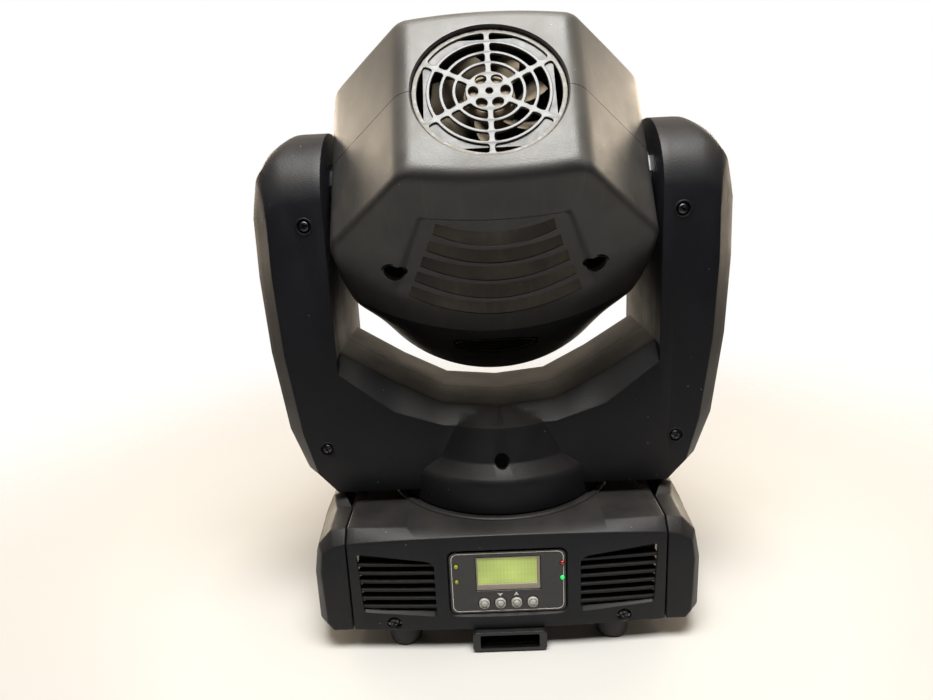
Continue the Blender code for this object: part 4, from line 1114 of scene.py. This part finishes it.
class MOVINGHEAD_OT_yoke_screws(bpy.types.Operator):
    """Four sunk cross-head screws that hold the yoke's covers, each in a raised ring"""
    bl_idname = "movinghead.yoke_screws"
    bl_label = "Yoke screws"

    def execute(self, context):
        radius = context.scene.yoke_sizes.screw_radius / MM
        for row, (x, z) in zip(("lower", "upper"), YOKE_SCREWS):
            for arm, word in ((-1, "left"), (1, "right")):
                screw = cross_screw(f"yoke_cap_screw_{row}_{word}", radius, 1.9, 11)
                turn = Matrix.Rotation(math.radians(25 * arm + 40), 4, "Z")
                screw.matrix_world = at(arm * x, -55.2, z) @ FACING_FRONT @ turn
                put(screw, "yoke", "black_screw", f"yoke_screw_{row}_{word}")
                rim = turned([(4.9, -55.1), (5.5, -55.25), (6.0, -55.0), (6.0, -54.6), (4.9, -54.6)], "Y", 48,
                             (arm * x, z))
                put(piece(f"screw_rim_{row}_{word}", rim, finish("body_abs")), "yoke", "black_abs")
        return {"FINISHED"}


# ---------------------------------------------------------------- base

BASE_HALF_X = 112.0
SIDE_COVER_X = 112.4             # where the side covers start
FACE_Y, FACE_BOW = 98.6, 4.6     # the front face at its ends, and how far its middle stands out
FACE_TOP_Z = 69.0                # top of the front face at its ends
DECK_Z = 77.6
BASE_SCREW_X, BASE_SCREW_Z = 82, 5.6
CONNECTOR_Z = 34
INLET_X = -76
SOCKETS_X = (30, 66)


def face_reach(x):
    """How far the base's front face is from the pan axis at one x."""
    return FACE_Y + FACE_BOW * (1 - (x / BASE_HALF_X) ** 2)


def shell_section(x, inset=0.0, floor_z=0.0):
    crown = 1 - (x / BASE_HALF_X) ** 2
    face = face_reach(x) - inset
    top = FACE_TOP_Z + 5.6 * crown - inset * 0.6
    deck = 90 + FACE_BOW * crown * 0.6 - inset * 0.6
    half = [(face, floor_z), (face, top), (deck, DECK_Z - inset)]
    ring = [(-y, z) for y, z in half] + [(y, z) for y, z in reversed(half)]
    return [Vector((x, y, z)) for y, z in ring]


def vent_outline(side, raised):
    """A front vent's outline; its top edge rises outwards. raised lifts the lower edge."""
    points = [(51.0, 11.3 + raised), (103.2, 14.9 + raised * 0.6), (105.2, 60.8), (101.0, 61.2),
              (56.0, 55.6), (51.0, 53.0)]
    return filleted([(side * x, z) for x, z in points], 2.4, 4)


class MOVINGHEAD_OT_base_shell(bpy.types.Operator):
    """Middle shell of the base, with its deck, panel opening, vents and rear openings"""
    bl_idname = "movinghead.base_shell"
    bl_label = "Base shell"

    def execute(self, context):
        sizes = context.scene.base_sizes
        reach = BASE_HALF_X - GAP
        sections = [shell_section(-reach + 2 * reach * k / 32) for k in range(33)]
        shell = piece("base_middle_shell", loft(sections), finish("body_abs"))
        soften(shell, sizes.edge_round, 3, 28)
        inner = [shell_section(-116 + 232 * k / 8, WALL, -10.0) for k in range(9)]
        carve(shell, loft(inner))
        carve(shell, stack("Z", [(78, 60), (78, 90)], 120))
        rings = []
        for y, grow, low in ((-112, 1.7, 10.2), (-103.4, 1.7, 10.2), (-100.9, 0.0, 12.5), (-90, 0.0, 12.5)):
            rim = filleted(rectangle(-41 - grow, 41 + grow, low, 62 + grow * 1.2), 6, 6)
            rings.append([(x, y, z) for x, z in rim])
        carve(shell, loft(rings))
        for side in (-1, 1):
            rings = []
            for deep, raised in ((-6, 0.0), (0.2, 0.0), (4.4, 5.2), (12, 5.2)):
                rings.append([(x, deep - face_reach(x), z) for x, z in vent_outline(side, raised)])
            carve(shell, loft(rings))
            notch = rectangle(*sorted((side * 104, side * 120)), -47, 47)
            carve(shell, prism(notch, "Z", 60, 100))
            sink = stack("Y", [(5.6, -120), (5.6, -101.2), (4.9, -99), (4.9, -90)], 40,
                         (side * BASE_SCREW_X, BASE_SCREW_Z))
            carve(shell, sink)
        carve(shell, prism(filleted(rectangle(-92, -60, 20, 48), 3), "Y", 90, 120))
        for x in SOCKETS_X:
            carve(shell, stack("Y", [(12.2, 90), (12.2, 120)], 60, (x, CONNECTOR_Z)))
        put(shell, "base", "black_abs", "base_shell")
        ring = turned([(84.2, 77.4), (84.2, 78.4), (84.9, 79.1), (87.2, 79.1), (88.4, 78.5), (88.8, 77.4)],
                      "Z", 160)
        put(piece("turret_seat_ring", ring, finish("body_abs"), None, 50), "base", "black_abs")
        well = turned([(78.4, 77.3), (89.6, 77.3), (89.6, 75), (76.4, 75), (76.4, 77.3)], "Z", 120)
        put(piece("turret_seat", well, finish("body_abs")), "base", "black_abs")
        return {"FINISHED"}


class MOVINGHEAD_OT_vent_bars(bpy.types.Operator):
    """Six level bars across each front vent, bowed with the face"""
    bl_idname = "movinghead.vent_bars"
    bl_label = "Vent bars"

    def execute(self, context):
        height = context.scene.base_sizes.bar_height / MM
        for side, word in ((-1, "left"), (1, "right")):
            bars = []
            for k in range(6):
                top = 19.6 + 6.7 * k
                rings = []
                for i in range(9):
                    x = side * (50.6 + 54.4 * i / 8)
                    front = 1.3 - face_reach(x)
                    section = filleted(rectangle(front, front + 6.5, top - height, top), 0.55, 3)
                    rings.append([(x, y, z) for y, z in section])
                bars.append(loft(rings))
            put(piece(f"vent_bars_{word}", merged(bars), finish("body_abs")), "base", "black_abs")
            # a dark sheet just behind each vent: painted shade standing in for the shadowed inside of the
            # base
            rings = [[(x, deep - face_reach(x), z) for x, z in vent_outline(side, 0.0)]
                     for deep in (7.6, 8.8)]
            put(piece(f"vent_painted_shade_sheet_{word}", loft(rings), finish("rubber")), "base", "black_abs")
        return {"FINISHED"}


def side_section(y):
    """A side cover's outline at one y: (distance from the middle, height) points."""
    tables = ((47.0, ((141, 0), (145, 6), (144, 42), (135, 68), (128, 82), (120, 85))),
              (60.0, ((140, 0), (144, 6), (143, 42), (133, 70), (124, 78), (SIDE_COVER_X, DECK_Z))),
              (90.0, ((133, 0), (137, 6), (137, 44), (133, 66), (124, 76), (SIDE_COVER_X, DECK_Z))),
              (FACE_Y, ((126, 0), (130, 6), (131, 48), (129, 62), (121, 67), (SIDE_COVER_X, FACE_TOP_Z))))
    reach = abs(y)
    if reach <= tables[0][0]:
        tops = tables[0][1]
    else:
        for (y0, low), (y1, high) in zip(tables, tables[1:]):
            if y0 <= reach <= y1:
                t = (reach - y0) / (y1 - y0)
                tops = [blend_of(a, b, t) for a, b in zip(low, high)]
    return [(SIDE_COVER_X, 0.0)] + list(tops)


class MOVINGHEAD_OT_side_covers(bpy.types.Operator):
    """Left and right covers of the base, each with a finger grip"""
    bl_idname = "movinghead.side_covers"
    bl_label = "Side covers"

    def execute(self, context):
        width = context.scene.base_sizes.edge_round
        for side, word in ((-1, "left"), (1, "right")):
            rings = []
            for y in (-98.6, -94.3, -90, -75, -60, -53, -47, -20, 20, 47, 53, 60, 75, 90, 94.3, 98.6):
                rings.append([(side * x, y, z) for x, z in side_section(y)])
            cover = piece(f"base_side_{word}", loft(rings), finish("body_abs"))
            soften(cover, width, 3, 14)
            hollow = []
            for y, reach in ((-92, 128), (-60, 138), (60, 138), (92, 128)):
                ring = ((100, -5), (reach, -5), (reach, 44), (119, 64), (100, 64))
                hollow.append([(side * x, y, z) for x, z in ring])
            carve(cover, loft(hollow))
            grip = [(100, 66.6), (120, 66.6), (120.6, 100), (100, 100)]
            carve(cover, prism([(side * x, z) for x, z in grip], "Y", -44, 44))
            put(cover, "base", "black_abs", f"side_cover_{word}")
        return {"FINISHED"}


class MOVINGHEAD_OT_feet(bpy.types.Operator):
    """Four round rubber feet, each with a screw sunk in its middle"""
    bl_idname = "movinghead.feet"
    bl_label = "Rubber feet"

    def execute(self, context):
        r = context.scene.base_sizes.foot_radius / MM
        profile = [(3.4, -0.4), (r - 0.6, -0.4), (r, -1.0), (r, -12), (r - 0.5, -14.6), (r - 1.6, -16.1),
                   (r - 3, -16.7), (5.2, -16.7), (4.6, -16.2), (4.4, -9), (3.4, -9)]
        for fx, wx in ((-76, "left"), (76, "right")):
            for fy, wy in ((-85, "front"), (85, "rear")):
                shape = turned(profile, "Z", 56, (fx, fy))
                foot = piece(f"rubber_foot_{wy}_{wx}", shape, finish("rubber"))
                put(foot, "base", "rubber", f"foot_{wy}_{wx}")
                screw = cross_screw(f"foot_screw_{wy}_{wx}", 3.6, 2.2, 9)
                screw.matrix_world = at(fx, fy, -11.0) @ FACING_DOWN
                put(screw, "base", "black_screw")
        return {"FINISHED"}


class MOVINGHEAD_OT_base_screws(bpy.types.Operator):
    """Two cross-head screws in notches at the foot of the front face"""
    bl_idname = "movinghead.base_screws"
    bl_label = "Base screws"

    def execute(self, context):
        for side, word in ((-1, "left"), (1, "right")):
            screw = cross_screw(f"base_cap_screw_{word}", 3.7, 2.2, 9)
            turn = Matrix.Rotation(math.radians(20 * side), 4, "Z")
            place = at(side * BASE_SCREW_X, -99.6, BASE_SCREW_Z)
            screw.matrix_world = place @ FACING_FRONT @ turn
            put(screw, "base", "black_screw", f"base_screw_{word}")
        return {"FINISHED"}


class MOVINGHEAD_OT_bracket(bpy.types.Operator):
    """Clamp bracket: an enamelled steel channel across the underside"""
    bl_idname = "movinghead.bracket"
    bl_label = "Clamp bracket"

    def execute(self, context):
        outer = filleted(rectangle(-26.5, 26.5, -15.6, -0.4), 3.4, 6)
        bracket = piece("bracket_channel", prism(outer, "Y", -107, 107), finish("enamel"))
        soften(bracket, 0.0005, 2, 50)
        carve(bracket, prism(filleted(rectangle(-21, 21, -13.1, -2.6), 1.2, 4), "Y", -120, 120))
        carve(bracket, stack("Z", [(6.5, -30), (6.5, -10)], 60))
        put(bracket, "base", "black_enamel", "clamp_bracket")
        strip = plate("bracket_liner", [filleted(rectangle(-18.5, 18.5, -90, 90), 2)], 0.5, 0.15,
                      finish("gold"), at(0, -12, -12.5))
        put(strip, "base", "zinc_plate")
        return {"FINISHED"}


class MOVINGHEAD_OT_connectors(bpy.types.Operator):
    """Power inlet and the two three-pin signal sockets in the rear face"""
    bl_idname = "movinghead.connectors"
    bl_label = "Rear connectors"

    def execute(self, context):
        turn = Matrix.Rotation(math.pi, 4, "Z")
        to_rear = at(INLET_X, 100.6, CONNECTOR_Z) @ turn @ FACING_FRONT
        mouth = [(-12, -8), (12, -8), (12, 4), (8, 8), (-8, 8), (-12, 4)]
        rim = filleted(rectangle(-15.6, 15.6, -13.6, 13.6), 3)
        flange = plate("inlet_flange", [rim, filleted(mouth, 1.2)], 2.2, 0.4, finish("trim_abs"), to_rear)
        put(flange, "base", "black_trim", "power_inlet")
        cup = piece("inlet_body", prism(filleted(rectangle(-90, -62, 21.5, 46.5), 2), "Y", 78, 98.3),
                    finish("trim_abs"))
        carve(cup, prism([(x + INLET_X, z + CONNECTOR_Z) for x, z in mouth], "Y", 84, 110))
        put(cup, "base", "black_trim")
        pins = [stack("Y", [(0.9, 83), (0.9, 96), (0.5, 96.6)], 12, (x + INLET_X, z + CONNECTOR_Z))
                for x, z in ((-7, -1), (7, -1), (0, 3))]
        put(piece("inlet_pins", merged(pins), finish("brass")), "base", "steel")
        for word, x in zip(("in", "out"), SOCKETS_X):
            profile = [(11.8, 80), (11.8, 103.6), (11.2, 105), (9.4, 105), (8.8, 104.2), (8.8, 90), (0.5, 90),
                       (0.5, 80)]
            shape = turned(profile, "Y", 72, (x, CONNECTOR_Z))
            barrel = piece(f"socket_barrel_{word}", shape, finish("zinc"))
            put(barrel, "base", "zinc_plate", f"signal_{word}_socket")
            places = [(x + 3.6 * math.cos(t), CONNECTOR_Z + 3.6 * math.sin(t)) for t in
                      [math.radians(90 + 120 * k) for k in range(3)]]
            pins = [stack("Y", [(1.1, 89.6), (1.1, 100), (0.6, 100.8)], 14, at) for at in places]
            put(piece(f"socket_pins_{word}", merged(pins), finish("brass")), "base", "steel")
        return {"FINISHED"}


# ---------------------------------------------------------------- control panel

PANEL_Y = -102.0
BUTTON_Z = 20.8
BUTTONS = (("menu", -17.0), ("down", -5.6), ("up", 5.8), ("enter", 17.2))
LED_PLACES = (("signal", "amber", -35.8, 50.6), ("master", "amber", -35.8, 38.6),
              ("slave", "red", 38.2, 51.0), ("sound", "green", 38.2, 39.2))


def on_panel(depth=0.0):
    """A place on the panel's face, drawn in X and Y and facing the front."""
    return at(0, PANEL_Y + depth, 0) @ FACING_FRONT


class MOVINGHEAD_OT_panel(bpy.types.Operator):
    """Control panel plate, its printed outline and the arrows over two buttons"""
    bl_idname = "movinghead.panel"
    bl_label = "Control panel"

    def execute(self, context):
        sizes = context.scene.panel_sizes
        hole = sizes.button_radius / MM + 0.45
        holes = [circle(hole, 40, (x, BUTTON_Z)) for _, x in BUTTONS]
        holes += [circle(1.75, 20, (x, z)) for _, _, x, z in LED_PLACES]
        holes.append(filleted(rectangle(-22.4, 23.2, 30.6, 57.4), 0.6, 3))
        rim = filleted(rectangle(-40.6, 40.6, 12.9, 61.6), 5.4, 7)
        put(plate("panel_plate", [rim] + holes, 2.6, 0.3, finish("panel"), on_panel()), "base",
            "black_trim", "control_panel")
        line = sizes.line_width / MM
        outer = filleted(rectangle(-39.2, 39.2, 14.2, 60.4), 5.2, 7)
        inner = filleted(rectangle(-39.2 + line, 39.2 - line, 14.2 + line, 60.4 - line), 4.8, 7)
        put(plate("panel_print_outline", [outer, inner], 0.3, 0.04, finish("ink"), on_panel(-0.07)), "base",
            "button_grey")
        for word, x, turn in (("down", -5.6, -1), ("up", 5.8, 1)):
            arrow = [(-1.9, -1.3), (0, -0.55), (1.9, -1.3), (0, 1.6)]
            shape = [(x + a, 27.4 + turn * b) for a, b in arrow]
            put(plate(f"panel_print_{word}", [shape], 0.3, 0.04, finish("ink"), on_panel(-0.07)), "base",
                "button_grey")
        return {"FINISHED"}


class MOVINGHEAD_OT_display(bpy.types.Operator):
    """Liquid crystal display in its metal frame"""
    bl_idname = "movinghead.display"
    bl_label = "Display"

    def execute(self, context):
        outer = filleted(rectangle(-22.0, 22.8, 31.0, 57.0), 0.5, 3)
        inner = filleted(rectangle(-20.9, 20.7, 35.4, 56.0), 0.4, 3)
        put(plate("display_frame", [outer, inner], 3.4, 0.35, finish("bezel"), on_panel(0.3)), "base", "lcd")
        film = filleted(rectangle(-21.3, 21.6, 34.6, 56.4), 0.4, 3)
        put(plate("display_film", [film], 1.6, 0.1, finish("display"), on_panel(1.1)), "base", "lcd",
            "lcd_module")
        return {"FINISHED"}


class MOVINGHEAD_OT_leds(bpy.types.Operator):
    """Four domed indicator lights beside the display"""
    bl_idname = "movinghead.leds"
    bl_label = "Indicator lights"

    def execute(self, context):
        for word, colour, x, z in LED_PLACES:
            steps = [(0.3, -1.5), (0.85, -1.3), (1.25, -0.9), (1.5, -0.3), (1.5, 4.5)]
            dome = stack("Y", [(r, PANEL_Y + y) for r, y in steps], 28, (x, z))
            put(piece(f"indicator_{word}", dome, finish(f"led_{colour}"), None, 50), "base",
                f"led_{colour}", f"led_{word}")
        return {"FINISHED"}


class MOVINGHEAD_OT_buttons(bpy.types.Operator):
    """Four round menu buttons, each with a groove round a domed middle"""
    bl_idname = "movinghead.buttons"
    bl_label = "Menu buttons"

    def execute(self, context):
        r = context.scene.panel_sizes.button_radius / MM
        steps = [(0.4, -2.1), (r * 0.3, -2.05), (r * 0.5, -1.85), (r * 0.62, -1.4), (r * 0.68, -0.8),
                 (r * 0.76, -0.85), (r * 0.8, -1.5), (r * 0.92, -1.55), (r * 0.98, -1.3), (r, -0.9), (r, 3.6)]
        for word, x in BUTTONS:
            cap = stack("Y", [(a, PANEL_Y + y) for a, y in steps], 48, (x, BUTTON_Z))
            put(piece(f"button_cap_{word}", cap, finish("button"), None, 60), f"{word}_key", "button_grey",
                f"button_{word}")
        return {"FINISHED"}


# ---------------------------------------------------------------- carried-over nodes

CARRIED = {
    "steel": ("base_plate", "tilt_bearing_left", "tilt_bearing_right"),
    "zinc": ("power_supply", "pan_bearing", "yoke_frame", "focus_carriage"),
    "motor": ("pan_motor", "tilt_motor", "tilt_shaft_left"),
    "board": ("control_board",),
    "belt": ("pan_belt", "tilt_belt"),
    "aluminium": ("pan_drive_pulley", "tilt_drive_pulley", "pan_pulley", "tilt_shaft_right"),
    "trim_abs": ("fan_frame",),
    "heat_sink": ("light_engine",),
    "dichroic": ("colour_wheel",),
    "gobo": ("gobo_wheel",),
}


class MOVINGHEAD_OT_inner_parts(bpy.types.Operator):
    """Finishes of the frame, motors, pulleys, belts, boards and optics inside the covers"""
    bl_idname = "movinghead.inner_parts"
    bl_label = "Inner parts' finishes"

    def execute(self, context):
        for key, nodes in CARRIED.items():
            for node in nodes:
                mesh = frame["nodes"][node].data
                mesh.materials.clear()
                mesh.materials.append(finish(key))
        return {"FINISHED"}


# ---------------------------------------------------------------- stage

def studio_light(name, at, target, size, power, colour):
    """A soft square lamp that points at a target; places and size in metres."""
    lamp = bpy.data.lights.new(name, "AREA")
    lamp.shape = "RECTANGLE"
    lamp.size, lamp.size_y = size
    lamp.energy = power
    lamp.color = linear(colour)
    obj = bpy.data.objects.new(name, lamp)
    bpy.context.scene.collection.objects.link(obj)
    obj.location = at
    obj.rotation_euler = (Vector(target) - Vector(at)).to_track_quat("-Z", "Y").to_euler()


def studio_camera():
    """The camera, level but for a slight tilt, a little above the head."""
    camera = bpy.data.cameras.new("studio_camera")
    camera.sensor_width = 36.0
    camera.lens = 26.67
    camera.clip_start = 0.01
    obj = bpy.data.objects.new("studio_camera", camera)
    bpy.context.scene.collection.objects.link(obj)
    yaw, pitch, roll = (math.radians(a) for a in (-1.03, 15.47, 2.80))
    ahead = Vector((math.sin(yaw) * math.cos(pitch), math.cos(yaw) * math.cos(pitch), -math.sin(pitch)))
    right = Vector((math.cos(yaw), -math.sin(yaw), 0))
    above = right.cross(ahead)
    turned_right = right * math.cos(roll) - above * math.sin(roll)
    turned_up = right * math.sin(roll) + above * math.cos(roll)
    turn = Matrix((turned_right, turned_up, -ahead)).transposed().to_4x4()
    obj.matrix_world = Matrix.Translation((-0.01338, -0.52511, 0.32399)) @ turn
    bpy.context.scene.camera = obj


class MOVINGHEAD_OT_stage(bpy.types.Operator):
    """Plain pale floor disc, soft lamps, sky and camera"""
    bl_idname = "movinghead.stage"
    bl_label = "Stage"

    def execute(self, context):
        scene = context.scene
        material, tree, shader = new_material("matt_painted_studio_floor")
        pale = tuple(scene.light_colours.floor)
        tone = ramp(tree, noise(tree, 700, 3), 0.3, 0.7, 0, 0.25)
        tree.links.new(mixed(tree, tone, pale, tuple(c * 0.97 for c in pale)), shader.inputs["Base Color"])
        shader.inputs["Roughness"].default_value = 0.75
        place = add_node(tree, "ShaderNodeTexCoord").outputs["Object"]
        far = add_node(tree, "ShaderNodeVectorMath", {0: place}, operation="LENGTH").outputs["Value"]
        tree.links.new(ramp(tree, far, 0.26, 0.8, 1.0, 0.0), shader.inputs["Alpha"])
        bump(tree, shader, noise(tree, 3, 2), 0.02, 0.2)
        top = FLOOR_Z / MM
        floor = piece("studio_floor", stack("Z", [(1000, top - 20), (1000, top)], 96), material)
        world = bpy.data.worlds.new("studio_sky")
        scene.world = world
        world.use_nodes = True
        tree = world.node_tree
        tree.nodes.clear()
        seen = add_node(tree, "ShaderNodeBackground", {0: (1, 1, 1, 1), 1: 1.0})
        toward = add_node(tree, "ShaderNodeTexCoord").outputs["Generated"]
        depth = add_node(tree, "ShaderNodeSeparateXYZ", {0: toward}).outputs["Y"]
        lit = add_node(tree, "ShaderNodeBackground", {0: (*linear("#f2e2cc"), 1),
                                                      1: ramp(tree, depth, -0.25, 0.75, 0.05, 0.95)})
        path = add_node(tree, "ShaderNodeLightPath")
        mix = add_node(tree, "ShaderNodeMixShader", {0: path.outputs["Is Camera Ray"], 1: lit.outputs[0],
                                                     2: seen.outputs[0]})
        add_node(tree, "ShaderNodeOutputWorld", {0: mix.outputs[0]})
        studio_light("top_softbox", (0.03, -0.38, 1.4), (0, -0.06, 0.3), (0.9, 0.6), 42, "#fbfaf6")
        studio_light("left_softbox", (-1.1, 1.0, 0.4), (0, 0, 0.15), (0.9, 0.8), 17, "#ffecd2")
        studio_light("right_softbox", (1.1, 1.0, 0.4), (0, 0, 0.15), (0.9, 0.8), 17, "#ffecd2")
        scene.view_settings.view_transform = "Standard"
        studio_camera()
        return {"FINISHED"}


OPERATORS = (
    MOVINGHEAD_OT_rear_covers, MOVINGHEAD_OT_louvre_blades, MOVINGHEAD_OT_screw_wells,
    MOVINGHEAD_OT_front_cover, MOVINGHEAD_OT_lens, MOVINGHEAD_OT_fan_grille, MOVINGHEAD_OT_fan,
    MOVINGHEAD_OT_yoke_covers, MOVINGHEAD_OT_yoke_screws, MOVINGHEAD_OT_base_shell,
    MOVINGHEAD_OT_vent_bars, MOVINGHEAD_OT_side_covers, MOVINGHEAD_OT_feet,
    MOVINGHEAD_OT_base_screws, MOVINGHEAD_OT_bracket, MOVINGHEAD_OT_connectors,
    MOVINGHEAD_OT_panel, MOVINGHEAD_OT_display, MOVINGHEAD_OT_leds, MOVINGHEAD_OT_buttons,
    MOVINGHEAD_OT_inner_parts, MOVINGHEAD_OT_stage,
)


class MOVINGHEAD_PT_pieces(bpy.types.Panel):
    """Lists the sizes, colours and pieces of the moving head light"""
    bl_idname = "MOVINGHEAD_PT_pieces"
    bl_label = "Moving Head Light"
    bl_space_type = "VIEW_3D"
    bl_region_type = "UI"
    bl_category = "Moving Head"

    def draw(self, context):
        for attribute, group in GROUPS.items():
            holder = self.layout.box()
            for key in group.__annotations__:
                holder.prop(getattr(context.scene, attribute), key)
        for operator in OPERATORS:
            self.layout.operator(operator.bl_idname)


def register():
    for attribute, group in GROUPS.items():
        bpy.utils.register_class(group)
        setattr(bpy.types.Scene, attribute, PointerProperty(type=group))
    for cls in (*OPERATORS, MOVINGHEAD_PT_pieces):
        bpy.utils.register_class(cls)


def unregister():
    for cls in reversed((*OPERATORS, MOVINGHEAD_PT_pieces)):
        bpy.utils.unregister_class(cls)
    for attribute, group in GROUPS.items():
        delattr(bpy.types.Scene, attribute)
        bpy.utils.unregister_class(group)


def main():
    for obj in [o for o in bpy.context.scene.objects if o.name in ("Cube", "Light", "Camera")]:
        bpy.data.objects.remove(obj)
    register()
    for operator in OPERATORS:
        name = operator.bl_idname.split(".")[1]
        getattr(bpy.ops.movinghead, name)()


if __name__ == "__main__":
    main()
